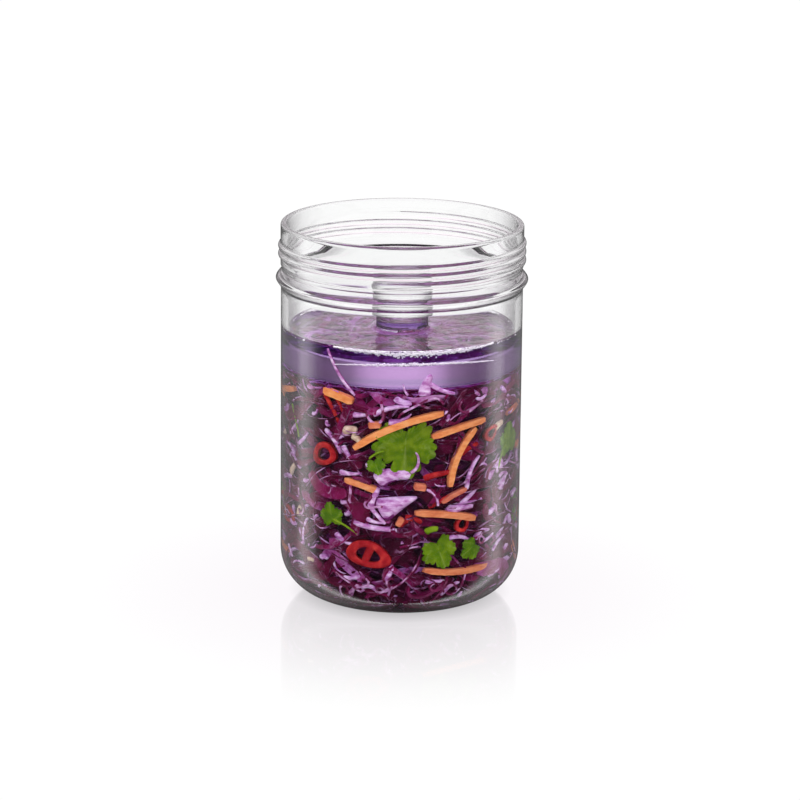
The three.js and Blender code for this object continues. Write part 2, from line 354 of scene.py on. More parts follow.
def lathe(name, outline, steps):
    """Spin an outline of (radius, height) points, in millimetres, into a closed shape."""
    deselect()
    first = Vector((outline[0][0], 0, outline[0][1])) * MM
    bpy.ops.mesh.primitive_plane_add(size=MM, location=first)
    piece = start(name)
    bpy.ops.mesh.select_mode(type="VERT")
    bpy.ops.mesh.merge(type="CENTER")
    for (r0, z0), (r1, z1) in zip(outline, outline[1:]):
        step = ((r1 - r0) * MM, 0, (z1 - z0) * MM)
        bpy.ops.mesh.extrude_region_move(TRANSFORM_OT_translate={"value": step})
    bpy.ops.mesh.select_all(action="SELECT")
    bpy.ops.mesh.spin(steps=steps, angle=2 * math.pi, center=(0, 0, 0), axis=(0, 0, 1))
    bpy.ops.mesh.select_all(action="SELECT")
    bpy.ops.mesh.remove_doubles(threshold=MERGE_GAP * MM)
    bpy.ops.mesh.normals_make_consistent(inside=False)
    place_in_mesh(piece)
    return piece


def arc(r, z, radius, start_angle, end_angle, steps):
    """Points of an arc in the outline's plane, angles in degrees from the outward side."""
    points = []
    for i in range(steps + 1):
        angle = math.radians(start_angle + (end_angle - start_angle) * i / steps)
        points.append((r + radius * math.cos(angle), z + radius * math.sin(angle)))
    return points


def coordinates(piece):
    """The vertices as an array, in millimetres."""
    flat = np.empty(len(piece.data.vertices) * 3, dtype=np.float32)
    piece.data.vertices.foreach_get("co", flat)
    return flat.reshape(-1, 3).astype(float) / MM


def move_to(piece, points):
    """Give the vertices new places, in millimetres."""
    piece.data.vertices.foreach_set("co", (points * MM).astype(np.float32).ravel())
    piece.data.update()


def shade(piece, angle=None):
    deselect()
    piece.select_set(True)
    bpy.context.view_layer.objects.active = piece
    if angle is None:
        bpy.ops.object.shade_smooth()
    else:
        bpy.ops.object.shade_smooth_by_angle(angle=math.radians(angle))


def turns(x, y):
    """Turn round the jar in degrees from the front, plus to the right."""
    return np.degrees(np.arctan2(x, -y))


print("modelling helpers ready")

# %% [markdown]
# The jar stands on a sheet of glossy white. The sheet mirrors the jar faintly in front of its
# foot, and the mirror image fades as it leaves the jar. It glows just enough to stay white. Its glow
# holds a painted shadow under the jar, a wider painted shadow where the jar's own shade falls as
# seen through the glass, and a faint painted lilac reflection of the jar near its foot.

# %% Floor
# sizes and distances of the sheet are in metres
FLOOR_SIZE = 2.4
FLOOR_SINK = 0.00004
MIRROR_NEAR = 0.047
MIRROR_FAR = 0.165
MIRROR_SHARE = 0.25
# how bright the sheet is, seen through the jar, by five times the distance in metres from its middle
SHADE_THROUGH_GLASS = [
    (0.15, 0.1692), (0.25, 0.4356), (0.33, 0.5635), (0.45, 0.8357), (0.7, 1.0)]


def floor_material():
    material, tree = new_material("white_sheet")
    place = place_on(tree)
    length = box_node(tree, "ShaderNodeVectorMath", operation="LENGTH")
    wire(tree, place, length.inputs[0])
    length = length.outputs["Value"]
    distance = map_range(tree, length, From_Min=MIRROR_NEAR, From_Max=MIRROR_FAR)
    fade = ramp(tree, distance, [
        (0.0, MIRROR_SHARE), (0.35, MIRROR_SHARE * 0.62), (0.7, MIRROR_SHARE * 0.22), (1.0, 0.0)])
    # painted shadow: the sheet's glow is darker under the jar
    under = map_range(
        tree, length, From_Min=0.02, From_Max=MIRROR_NEAR, To_Min=0.35, To_Max=CLEAN_WHITE)
    shaded = ramp(tree, number(tree, "MULTIPLY", length, 5.0), SHADE_THROUGH_GLASS)
    path = box_node(tree, "ShaderNodeLightPath")
    glow = box_node(tree, "ShaderNodeEmission")
    wire(tree, mix(tree, path.outputs["Is Transmission Ray"], under, shaded), glow.inputs["Strength"])
    # painted reflection: a faint lilac in the glow near the jar's foot
    wire(tree, ramp(tree, distance, [(0.0, (1.0, 0.972, 1.0)), (0.8, 1.0)]), glow.inputs["Color"])
    mirror = box_node(tree, "ShaderNodeBsdfGlossy")
    rough = ramp(tree, noise_at(tree, place, 60.0, 2.0), [(0.3, 0.03), (0.7, 0.05)])
    wire(tree, rough, mirror.inputs["Roughness"])
    finish_material(tree, mix_shaders(tree, fade, glow, mirror))
    return material


def add_floor():
    deselect()
    bpy.ops.mesh.primitive_plane_add(size=FLOOR_SIZE, location=(0, 0, -FLOOR_SINK))
    floor = start("floor_sheet")
    bpy.ops.mesh.subdivide(number_cuts=4)
    place_in_mesh(floor)
    floor.data.materials.append(floor_material())
    floor.visible_glossy = False
    return floor


floor = add_floor()
print("floor faces", len(floor.data.polygons))

# %% [markdown]
# Jar glass is soda-lime: clear, with an index of refraction near 1.5 and a trace of grey-green.
# A moulded wall is never quite even, so a slow noise bends its surface a little. The glass darkens
# as its surface turns away from the eye: a little of that is the thicker glass seen edge on, the
# rest is painted shade for the dark edges of jar and weight. Where brine touches the glass, light
# bends by the ratio of the two indices. Real glass lets lamp light in, but a renderer's shadow rays
# stop at glass, so they, and only they, get a nearly clear shader.

# %% Glass
GLASS_IOR = 1.5
BRINE_IOR = 1.34
GLASS_COLOUR = (0.985, 0.99, 0.988)
GLASS_SHADOW = (0.95, 0.955, 0.955)
# colours by how far the surface turns away from the eye, 0 facing it to 1 edge on; the dark end is
# painted edge shade
WALL_TINT_AND_EDGE_SHADE = [
    (0.3, GLASS_COLOUR), (0.48, (0.77, 0.765, 0.775)), (0.7, (0.42, 0.41, 0.42)),
    (0.9, (0.1, 0.095, 0.1))]
WEIGHT_TINT_AND_EDGE_SHADE = [
    (0.1, GLASS_COLOUR), (0.25, (0.74, 0.74, 0.74)), (0.45, (0.26, 0.26, 0.265)),
    (0.75, (0.04, 0.04, 0.042))]
# the foot stands in light from the white sheet, so its edge stays light
FOOT_TINT = [(0.5, (0.985, 0.985, 0.99)), (0.8, (0.82, 0.76, 0.84)), (0.97, (0.5, 0.44, 0.52))]
FOOT_HEIGHTS = (0.006, 0.024)


def clear_to_shadows(tree, shader, tint):
    """Let shadow rays pass, tinted, so that lamps reach what is inside."""
    path = box_node(tree, "ShaderNodeLightPath")
    clear = put(box_node(tree, "ShaderNodeBsdfTransparent"), Color=(*tint, 1))
    return mix_shaders(tree, path.outputs["Is Shadow Ray"], shader, clear)


def glass_material(name, wave_scale, wave, ior, edge_tint_and_shade=None):
    material, tree = new_material(name)
    place = place_on(tree)
    shader = box_node(tree, "ShaderNodeBsdfPrincipled")
    put(shader, Base_Color=(*GLASS_COLOUR, 1), Roughness=0.0, IOR=ior, Transmission_Weight=1.0)
    if edge_tint_and_shade:
        facing = put(box_node(tree, "ShaderNodeLayerWeight"), Blend=0.5).outputs["Facing"]
        split = box_node(tree, "ShaderNodeSeparateXYZ")
        wire(tree, place, split.inputs[0])
        low, high = FOOT_HEIGHTS
        above_foot = map_range(tree, split.outputs["Z"], From_Min=low, From_Max=high)
        # painted shade darkens the glass edges; on the foot, painted light from the sheet keeps them
        # lighter
        tint = mix(tree, above_foot, ramp(tree, facing, FOOT_TINT), ramp(tree, facing, edge_tint_and_shade))
        wire(tree, tint, shader.inputs["Base Color"])
    waves = noise_at(tree, place, wave_scale, 1.5, roughness=0.4)
    wire(tree, bump(tree, waves, 0.35, wave), shader.inputs["Normal"])
    finish_material(tree, clear_to_shadows(tree, shader, GLASS_SHADOW))
    return material


jar_glass = glass_material("jar_glass", 34.0, 0.0003, GLASS_IOR, WALL_TINT_AND_EDGE_SHADE)
wet_glass = glass_material("jar_glass_wet", 34.0, 0.0001, GLASS_IOR / BRINE_IOR)
weight_glass = glass_material("weight_glass", 60.0, 0.0002, GLASS_IOR, WEIGHT_TINT_AND_EDGE_SHADE)
wet_weight = glass_material("weight_glass_wet", 60.0, 0.0001, GLASS_IOR / BRINE_IOR)
print("glass ready")

# %% [markdown]
# The jar's body is a straight wall with a wide round corner into the foot. Above the shoulder come
# the transfer bead, a groove and the lip with its screw thread. The inner wall follows the bead, as
# blown glass does. The outline is spun with many close rows on the lip, and then those rows are
# pushed out along a helix: the thread grows out of the wall with soft flanks, as from a mould.

# %% Jar
BODY_R = 50
WALL = 2.9
FLOOR_T = 4.6
CORNER_R = 19.5
INNER_R = BODY_R - WALL
INNER_CORNER = CORNER_R - WALL
PUNT_R = 22
PUNT_DEPTH = 1.4
JAR_H = 158
BEAD_Z = 134.8
BEAD_R = 52.1
BEAD_HALF = 3.3
BEAD_TIP_ROUND = 0.22
BEAD_BEHIND = 0.97
BEAD_BEHIND_ROUND = 0.42
BEAD_BEHIND_DROP = 0.48
BEHIND_GROOVE_R = 46.85
BEHIND_LIP_Z = 143.0
GROOVE_R = 49.5
LIP_OUT_R = 50.15
LIP_Z = 139.8
LIP_ROUND = 1.3
MOUTH_R = 47.5
MOUTH_ROUND = 1.0
SHOULDER_Z = 128.2
THREAD_HEIGHT = 1.0
THREAD_HALF = 1.3
THREAD_PITCH = 3.5
THREAD_TURNS = 2.62
THREAD_Z = 142
THREAD_START = -18
THREAD_RUNOUT = 0.06
JAR_STEPS = 176
CORNER_CENTRE_R = BODY_R - CORNER_R
CORNER_CENTRE_Z = FLOOR_T + INNER_CORNER
BRINE_LEVEL = 113.2
MENISCUS = 1.9
JAR_CONTACT = BRINE_LEVEL + MENISCUS
KNOB_CONTACT = BRINE_LEVEL + 0.8 * MENISCUS


def spaced(start_value, end_value, count):
    return [start_value + (end_value - start_value) * i / count for i in range(count + 1)]


def bead_swell(z, tip=BEAD_TIP_ROUND):
    """The bead's section, a ridge with a rounded tip: 1 at its tip and 0 at its feet."""
    u = min(abs(z - BEAD_Z) / BEAD_HALF, 1)
    full = math.hypot(1, tip)
    return (full - math.hypot(u, tip)) / (full - tip)


def behind_bead(z):
    """The inner wall's radius behind the bead and the groove; the wall keeps its thickness."""
    low = z + BEAD_BEHIND_DROP
    t = min(max((low - BEAD_Z + BEAD_HALF) / (2 * BEAD_HALF), 0), 1)
    neck = INNER_R + (BEHIND_GROOVE_R - INNER_R) * t
    outer = BODY_R + (GROOVE_R - BODY_R) * t
    ridge = BEAD_BEHIND * (BEAD_R - outer) * bead_swell(low, BEAD_BEHIND_ROUND)
    rise = min(max((low - BEAD_Z - BEAD_HALF) / (BEHIND_LIP_Z - BEAD_Z - BEAD_HALF), 0), 1)
    return neck + ridge + (MOUTH_R - neck) * rise * rise * (3 - 2 * rise)


def jar_outline():
    punt = [(PUNT_R * i / 8, PUNT_DEPTH * math.cos(math.pi / 2 * i / 8) ** 1.5) for i in range(9)]
    corner = arc(CORNER_CENTRE_R, CORNER_R, CORNER_R, -90, 0, 22)
    wall = [(BODY_R, z) for z in spaced(CORNER_R + 8, BEAD_Z - BEAD_HALF - 2.5, 10)]
    bead = []
    for i in range(33):
        t = i / 32
        neck = BODY_R + (GROOVE_R - BODY_R) * t
        z = BEAD_Z + BEAD_HALF * (2 * t - 1)
        bead.append((neck + (BEAD_R - neck) * bead_swell(z), z))
    lip = [(LIP_OUT_R, z) for z in spaced(LIP_Z + 0.8, JAR_H - LIP_ROUND - 0.4, 64)]
    rim = arc(LIP_OUT_R - LIP_ROUND, JAR_H - LIP_ROUND, LIP_ROUND, 0, 90, 8)
    mouth = arc(MOUTH_R + MOUTH_ROUND, JAR_H - MOUTH_ROUND, MOUTH_ROUND, 90, 180, 7)
    neck = [(MOUTH_R, z) for z in spaced(JAR_H - 5, BEHIND_LIP_Z + 2, 3)]
    shoulder = [(behind_bead(z), z) for z in spaced(BEHIND_LIP_Z, SHOULDER_Z, 56)]
    inside = [(INNER_R, z) for z in spaced(SHOULDER_Z - 6, JAR_CONTACT, 2)]
    inside += [(INNER_R, z) for z in spaced(JAR_CONTACT - 5, CORNER_CENTRE_Z + 5, 8)]
    inner_corner = arc(CORNER_CENTRE_R, CORNER_CENTRE_Z, INNER_CORNER, 0, -90, 20)
    floor_points = [(r, FLOOR_T) for r in spaced(CORNER_CENTRE_R - 4, 0, 5)]
    return (punt + corner + wall + bead + [(GROOVE_R, LIP_Z), (GROOVE_R + 0.3, LIP_Z + 0.4)]
            + lip + rim + mouth + neck + shoulder + inside + inner_corner + floor_points)


def raise_thread(piece):
    """Push the lip's outer rows out along the helix."""
    points = coordinates(piece)
    r = np.hypot(points[:, 0], points[:, 1])
    turn = turns(points[:, 0], points[:, 1])
    height = np.zeros(len(points))
    for lap in range(-1, 4):
        t = (turn + 360 * lap - THREAD_START) / (360 * THREAD_TURNS)
        on_thread = (t >= 0) & (t <= 1)
        run = np.clip(np.minimum(t, 1 - t) / THREAD_RUNOUT, 0, 1)
        middle = THREAD_Z + THREAD_PITCH * THREAD_TURNS * t
        off = np.abs(points[:, 2] - middle) / THREAD_HALF
        swell = np.clip(1 - off ** 2.2, 0, 1) ** 0.85 * np.sin(run * math.pi / 2)
        height = np.maximum(height, np.where(on_thread, swell, 0))
    outer = (r > LIP_OUT_R - 0.05) & (points[:, 2] > LIP_Z + 0.7) & (points[:, 2] < JAR_H - LIP_ROUND)
    push = np.where(outer, 1 + THREAD_HEIGHT * height / np.maximum(r, 1), 1)
    points[:, 0] *= push
    points[:, 1] *= push
    move_to(piece, points)


def in_brine(r, z):
    """Whether a point of the jar's surface is on its inside, below the brine's edge."""
    if z > CORNER_CENTRE_Z:
        return z < JAR_CONTACT and r < INNER_R + 0.3
    if r < CORNER_CENTRE_R:
        return z > FLOOR_T - 0.5
    return math.hypot(r - CORNER_CENTRE_R, z - CORNER_CENTRE_Z) < INNER_CORNER + 0.5


def wet_faces(piece, is_wet):
    """Give the second material to the faces that the brine touches."""
    count = 0
    for face in piece.data.polygons:
        r = math.hypot(face.center.x, face.center.y) / MM
        if is_wet(r, face.center.z / MM):
            face.material_index = 1
            count += 1
    return count


glass_jar = lathe("glass_jar", jar_outline(), JAR_STEPS)
raise_thread(glass_jar)
shade(glass_jar)
glass_jar.data.materials.append(jar_glass)
glass_jar.data.materials.append(wet_glass)
print("wet faces of the jar", wet_faces(glass_jar, in_brine))
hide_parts("jar")
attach(glass_jar, "root")
print("jar faces", len(glass_jar.data.polygons))

# %% [markdown]
# The weight is a thick pressed disc with a knob to lift it by. It is solid glass, so it works as
# a lens: the brine's line, the bead and the vegetables behind all bend inside it. Its edges are
# fire-polished round, which the arcs of the outline give.

# %% Weight
WEIGHT_R = 43.5
WEIGHT_BOTTOM = 98
WEIGHT_TOP = 109
WEIGHT_ROUND = 3.0
KNOB_R = 12.35
KNOB_TOP = 135.5
KNOB_UNDER = 121.6
KNOB_WAIST_R = 10.75
KNOB_FOOT_R = 11.9
KNOB_FILLET = 2.0
KNOB_ROUND = 1.6
WEIGHT_SHIFT = 0.3


def disc_outline(inset=0.0):
    """The disc up to the knob's foot; inset draws the same line inside the glass."""
    radius = WEIGHT_ROUND - inset
    edge = WEIGHT_R - WEIGHT_ROUND
    low = arc(edge, WEIGHT_BOTTOM + WEIGHT_ROUND, radius, -90, 0, 8)
    high = arc(edge, WEIGHT_TOP - WEIGHT_ROUND, radius, 0, 90, 8)
    bottom = [(r, WEIGHT_BOTTOM + inset) for r in (0, 12, 24, 34)]
    side = [(WEIGHT_R - inset, z) for z in (103, 104)]
    top = [(r, WEIGHT_TOP - inset) for r in (34, 26, 19)]
    return bottom + low + side + high + top


def foot_outline(inset=0.0):
    """The fillet and the waist of the knob, from the disc's top up to the knob's underside."""
    centre_r = KNOB_FOOT_R + KNOB_FILLET
    centre_z = WEIGHT_TOP + KNOB_FILLET
    fillet = arc(centre_r, centre_z, KNOB_FILLET + inset, 270, 192, 7)
    waist = [(KNOB_WAIST_R - inset + 0.35, 113.2), (KNOB_WAIST_R - inset + 0.08, KNOB_CONTACT)]
    return fillet + waist


def weight_outline():
    waist = [(KNOB_WAIST_R, z) for z in (116.4, 118.5, KNOB_UNDER - 1.2)]
    under = arc(KNOB_WAIST_R + 0.8, KNOB_UNDER - 0.8, 0.8, 180, 90, 5)
    lower = arc(KNOB_R - 0.8, KNOB_UNDER + 0.8, 0.8, -90, 0, 6)
    side = [(KNOB_R, z) for z in (125, 129, 132)]
    upper = arc(KNOB_R - KNOB_ROUND, KNOB_TOP - KNOB_ROUND, KNOB_ROUND, 0, 90, 8)
    top = [(8, KNOB_TOP - 0.02), (4, KNOB_TOP - 0.05), (0, KNOB_TOP - 0.06)]
    return disc_outline() + foot_outline() + waist + under + lower + side + upper + top


glass_weight = lathe("glass_weight", weight_outline(), 128)
points = coordinates(glass_weight)
points[:, 0] += WEIGHT_SHIFT
move_to(glass_weight, points)
shade(glass_weight)
glass_weight.data.materials.append(weight_glass)
glass_weight.data.materials.append(wet_weight)
print("wet faces of the weight", wet_faces(glass_weight, lambda r, z: z < KNOB_CONTACT))
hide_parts("weight")
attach(glass_weight, "root")
print("weight faces", len(glass_weight.data.polygons))

# %% [markdown]
# Brine is water and salt that the cabbage has dyed. It is one closed body: its outside reaches
# 0.1 mm into the jar's wall, so no film of air shows, and it is hollow where the weight stands in
# it. It climbs a little at the glass, which draws the bright line at the water's edge. Its colour
# is in its depth: a volume swallows green first, then red, so thin brine is pale and deep brine
# is purple. Only its open surface bends light; where it lies in the glass, the wet glass has done
# that, and a note on each face says which is which. It is one material all the same, because a
# ray leaves a volume only by the material through which it came in.

# %% Brine
MENISCUS_REACH = 1.7
INTO_GLASS = 0.1
INTO_WEIGHT = 0.16
BRINE_COLOUR = (0.475, 0.16, 0.66)
BRINE_DENSITY = 115.0
BRINE_RIPPLE = 0.0016


def brine_top(r):
    wall = math.exp(-(INNER_R - r) / MENISCUS_REACH)
    knob = math.exp(-(r - KNOB_WAIST_R) / MENISCUS_REACH)
    return BRINE_LEVEL + MENISCUS * (wall + 0.8 * knob)


def brine_outline():
    reach = INNER_R + INTO_GLASS
    corner = INNER_CORNER + INTO_GLASS
    foot = foot_outline(INTO_WEIGHT)
    knob_edge = foot[-1][0]
    radii = [knob_edge + d for d in (0.25, 0.6, 1.1, 1.8, 2.8, 4.2, 7, 12, 18, 24, 29)]
    radii += [reach - d for d in (5, 3.4, 2.4, 1.7, 1.1, 0.65, 0.3, 0)]
    top = [(r, brine_top(r)) for r in radii]
    wall = [(reach, z) for z in spaced(108, CORNER_CENTRE_Z + 4, 8)]
    bend = arc(CORNER_CENTRE_R, CORNER_CENTRE_Z, corner, 0, -90, 16)
    under = [(r, FLOOR_T - INTO_GLASS) for r in (22, 12, 0)]
    return disc_outline(INTO_WEIGHT) + foot + top + wall + bend + under


def brine_material():
    material, tree = new_material("brine")
    surface = box_node(tree, "ShaderNodeBsdfPrincipled")
    put(surface, Base_Color=(1, 1, 1, 1), Roughness=0.0, IOR=BRINE_IOR, Transmission_Weight=1.0)
    ripples = noise_at(tree, place_on(tree), 120.0, roughness=0.55)
    wire(tree, bump(tree, ripples, 0.5, BRINE_RIPPLE), surface.inputs["Normal"])
    nothing = box_node(tree, "ShaderNodeBsdfTransparent")
    blend = mix_shaders(tree, attribute(tree, "at_glass"), surface, nothing)
    depth = box_node(tree, "ShaderNodeVolumeAbsorption")
    put(depth, Color=(*BRINE_COLOUR, 1), Density=BRINE_DENSITY)
    finish_material(tree, clear_to_shadows(tree, blend, (1, 1, 1)), depth)
    return material


def mark_at_glass(piece):
    """Note on each face of the brine whether it lies in the glass or is the open surface."""
    touching = []
    for face in piece.data.polygons:
        r = math.hypot(face.center.x, face.center.y) / MM
        is_open = KNOB_WAIST_R < r < INNER_R and face.center.z / MM > BRINE_LEVEL - 0.5
        touching.append(0.0 if is_open else 1.0)
    layer = piece.data.attributes.new("at_glass", "FLOAT", "FACE")
    layer.data.foreach_set("value", touching)
    return int(sum(touching))


brine = lathe("brine", brine_outline(), 144)
points = coordinates(brine)
beside = np.hypot(points[:, 0], points[:, 1]) < WEIGHT_R
above = points[:, 2] > WEIGHT_BOTTOM
points[:, 0] += np.where(beside & above, WEIGHT_SHIFT, 0)
move_to(brine, points)
shade(brine)
brine.data.materials.append(brine_material())
print("brine faces at glass", mark_at_glass(brine))
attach(brine, "root")
print("brine faces", len(brine.data.polygons))

# %% [markdown]
# The vegetables fill the jar, but only those near the glass are ever seen. So the heap is a dark
# core with real pieces laid over it. Every piece is made flat, in its own small map: x runs round
# the jar, y climbs it and z comes out to the glass. One function bends that map on to the inside of
# the wall, round the corner and under the floor.

# %% The inside of the wall as a map
HEAP_TOP = 97.6
CORNER_LENGTH = INNER_CORNER * math.pi / 2


def on_wall(turn, points):
    """Bend map points (round, climb, out) on to the wall; out is 0 at the glass, minus inward."""
    climb = points[:, 1]
    out = points[:, 2]
    bend = np.clip((CORNER_CENTRE_Z - climb) / INNER_CORNER, 0, math.pi / 2)
    beyond = np.clip(CORNER_CENTRE_Z - CORNER_LENGTH - climb, 0, None)
    r = CORNER_CENTRE_R + (INNER_CORNER + out) * np.cos(bend) - beyond
    z = np.where(climb > CORNER_CENTRE_Z, climb, CORNER_CENTRE_Z - (INNER_CORNER + out) * np.sin(bend))
    angle = math.radians(turn) + points[:, 0] / np.maximum(r, 14)
    return np.stack([r * np.sin(angle), -r * np.cos(angle), z], axis=1)


def on_top(x, y, points, turn=0.0, height=HEAP_TOP):
    """Lay map points flat on the heap's top; out is up."""
    c, s = math.cos(turn), math.sin(turn)
    return np.stack([
        x + c * points[:, 0] - s * points[:, 1],
        y + s * points[:, 0] + c * points[:, 1],
        height + points[:, 2],
    ], axis=1)


def climb_at(z):
    """The map's climb for a height on the wall."""
    if z >= CORNER_CENTRE_Z:
        return z
    lowest = max((CORNER_CENTRE_Z - z) / INNER_CORNER, 0)
    return CORNER_CENTRE_Z - INNER_CORNER * math.asin(min(lowest, 1))


print("map corner length", round(CORNER_LENGTH, 1))

# %% [markdown]
# What repeats is modelled once. This master is a thin bar with cuts along its length; every shred
# is a copy whose bar is laid along its own curved, twisted route. The narrow sides of a real shred
# are the knife's cuts, pale inside, while its broad faces are the dark skin of the leaf, so each
# face keeps a note of which of the two it is.

# %% Masters: a bar with cuts along its length


def cut_along(bar, cuts, taper):
    """Cut a unit bar's long edges into equal lengths, and draw in its two ends."""
    bpy.ops.mesh.select_mode(type="EDGE")
    bpy.ops.mesh.select_all(action="DESELECT")
    bpy.ops.object.mode_set(mode="OBJECT")
    for edge in bar.data.edges:
        a, b = (bar.data.vertices[i].co for i in edge.vertices)
        edge.select = abs(a.x - b.x) > 0.5
    bpy.ops.object.mode_set(mode="EDIT")
    bpy.ops.mesh.subdivide(number_cuts=cuts)
    bpy.ops.mesh.select_mode(type="VERT")
    bpy.ops.mesh.select_all(action="DESELECT")
    bpy.ops.object.mode_set(mode="OBJECT")
    for vertex in bar.data.vertices:
        vertex.select = abs(vertex.co.x) > 0.49
    bpy.ops.object.mode_set(mode="EDIT")
    bpy.ops.transform.resize(value=(1, taper, taper))
    bpy.ops.object.mode_set(mode="OBJECT")


def make_bar(name, cuts, taper):
    deselect()
    bpy.ops.mesh.primitive_cube_add(size=1, location=(0, 0, 0))
    bar = start(name)
    cut_along(bar, cuts, taper)
    return bar


def read_master(master):
    """Vertices, faces and, for each face, whether it is a side that the knife cut."""
    mesh = master.data
    vertices = np.array([v.co[:] for v in mesh.vertices])
    faces = [tuple(p.vertices) for p in mesh.polygons]
    cut = np.array([abs(p.normal.y) > 0.7 for p in mesh.polygons], dtype=float)
    return vertices, faces, cut


class Heap:
    """Copies of masters, joined into one mesh with face attributes cut and tone."""

    def __init__(self):
        self.points, self.faces, self.cut, self.tone = [], [], [], []
        self.count = 0
        self.copies = 0

    def add(self, points, faces, cut, tone):
        self.points.append(points)
        self.faces.extend([tuple(i + self.count for i in face) for face in faces])
        self.cut.append(cut)
        self.tone.append(np.full(len(faces), tone))
        self.count += len(points)
        self.copies += 1

    def build(self, name, material, angle=None, in_heap=True):
        """Make the piece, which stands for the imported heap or, if not in_heap, adds to the jar."""
        mesh = bpy.data.meshes.new(name)
        mesh.from_pydata((np.concatenate(self.points) * MM).tolist(), [], self.faces)
        for label, values in (("cut", self.cut), ("tone", self.tone)):
            layer = mesh.attributes.new(label, "FLOAT", "FACE")
            layer.data.foreach_set("value", np.concatenate(values).astype(np.float32))
        piece = bpy.data.objects.new(name, mesh)
        scene.collection.objects.link(piece)
        mesh.materials.append(material)
        shade(piece, angle)
        if in_heap:
            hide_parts("vegetables")
        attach(piece, "root")
        print(name, self.copies, "copies,", len(mesh.polygons), "faces")
        return piece


shred_master = make_bar("shred_master", 11, 0.72)
stick_master = make_bar("stick_master", 9, 0.66)
shred_shape = read_master(shred_master)
stick_shape = read_master(stick_master)
print("shred faces", len(shred_shape[1]))

# %% [markdown]
# A shred's route is a walk: it starts with a heading, and its heading drifts as it goes, so it
# curves like a cut leaf. A second angle twists the bar, so that some stretches show the broad dark
# face and others the thin pale cut. The route is pushed inward wherever a piece with a place of
# its own lies against the glass.

# %% Routes for bent strips
GLASS_CLEARANCE = 0.3
ROUTE_STEPS = 24


def route(length, heading, drift, sway, phase):
    """Middle line in the map's plane, centred on (0, 0)."""
    t = np.linspace(-0.5, 0.5, ROUTE_STEPS)
    angle = heading + drift * t + sway * np.sin(2 * math.pi * t + phase)
    step = length / (ROUTE_STEPS - 1)
    x = np.concatenate([[0], np.cumsum(np.cos(angle[:-1]) * step)])
    y = np.concatenate([[0], np.cumsum(np.sin(angle[:-1]) * step)])
    return np.stack([x - x.mean(), y - y.mean()], axis=1), angle


def lay_strip(shape, line, angle, twist, width, thickness, depth, out_wave=0.0, wave_phase=0.0):
    """Lay a bar's vertices along a route; gives map points with the strip behind the glass."""
    vertices = shape[0]
    t = vertices[:, 0] + 0.5
    place = t * (ROUTE_STEPS - 1)
    grid = np.arange(ROUTE_STEPS)
    x = np.interp(place, grid, line[:, 0])
    y = np.interp(place, grid, line[:, 1])
    heading = np.interp(place, grid, angle)
    roll = twist[0] + (twist[1] - twist[0]) * t
    normal = np.stack([-np.sin(heading), np.cos(heading)], axis=1)
    side = vertices[:, 1] * width
    up = vertices[:, 2] * thickness
    across = side * np.cos(roll) - up * np.sin(roll)
    out = side * np.sin(roll) + up * np.cos(roll)
    reach = np.abs(np.sin(roll)) * width / 2 + np.abs(np.cos(roll)) * thickness / 2
    lift = out_wave * (0.5 + 0.5 * np.sin(3 * math.pi * t + wave_phase))
    inward = GLASS_CLEARANCE + reach + depth + lift
    return np.stack([x + normal[:, 0] * across, y + normal[:, 1] * across, out - inward], axis=1)


print("route helpers ready")

# %% [markdown]
# Pieces with a place of their own: what stands out at the front is put where it lies in the jar.
# Each row gives the turn from the front in degrees, the height in millimetres, the tilt and the
# size. The shreds near such a piece are pushed inward, so that it shows. The rest of the heap, round
# the sides and the back, is scattered by golden steps, which leave neither gaps nor crowds.

# %% Places of the pieces that show plainly
# turn, z, tilt, length, width, bend, how little the brine has dyed it
CARROTS = [
    (-2, 82.3, 22, 40, 2.7, 3.0, 0.9),
    (31, 81.3, 10, 25, 2.4, 0.8, 0.75),
    (31, 69.5, 62, 27, 2.5, 3.0, 0.85),
    (-33, 94.2, -12, 14, 3.1, 0.3, 1.0),
    (-20, 58, -14, 14, 2.5, 0.5, 0.6),
    (24.5, 45, -11, 27, 2.7, 1.0, 0.5),
    (31, 20.8, -3, 30, 2.5, -1.2, 0.45),
    (-13, 83.7, 8, 5, 2.6, 0, 0.3),
    (10, 57.9, -10, 5, 2.8, 0, 0.2),
    (28, 53.3, 22, 12, 1.8, 0.5, 0.1),
    (0, 43.2, 60, 4, 2.2, 0, 0.25),
]
# turn, z, radius, tilt, holes
PEPPER_RINGS = [
    (-41, 68.5, 5.6, 12, 1),
    (-16, 28.6, 7.0, -6, 2),
    (51, 76.5, 3.6, 30, 1),
    (33, 40.6, 3.6, 70, 1),
]
# turn, z, size, tilt
LEAVES = [
    (2.5, 75.5, 26, 178),
    (-12, 67, 8, 200),
    (-36, 43, 11, 10),
    (20, 30.5, 15, 200),
    (38, 29.5, 10, 120),
    (67, 70.4, 15, 0),
]

# turn, z, tilt and half sizes of what shreds keep clear of; the first two are large ribs
keep_clear = [(-3.5, 62.3, 10, 8, 4.5), (-1, 50.6, 22, 9, 5)]
for turn, z, tilt, length, width, bend, tone in CARROTS:
    keep_clear.append((turn, z, tilt, length / 2, width / 2 + 0.4))
for turn, z, radius, tilt, holes in PEPPER_RINGS:
    keep_clear.append((turn, z, tilt, radius * 1.1, radius * 0.9))
for turn, z, size, tilt in LEAVES:
    keep_clear.append((turn, z, tilt, size / 2, size / 2))


CLEAR_EDGE = 0.6
CLEAR_PUSH = 3.4
CLEAR_TURN = 75


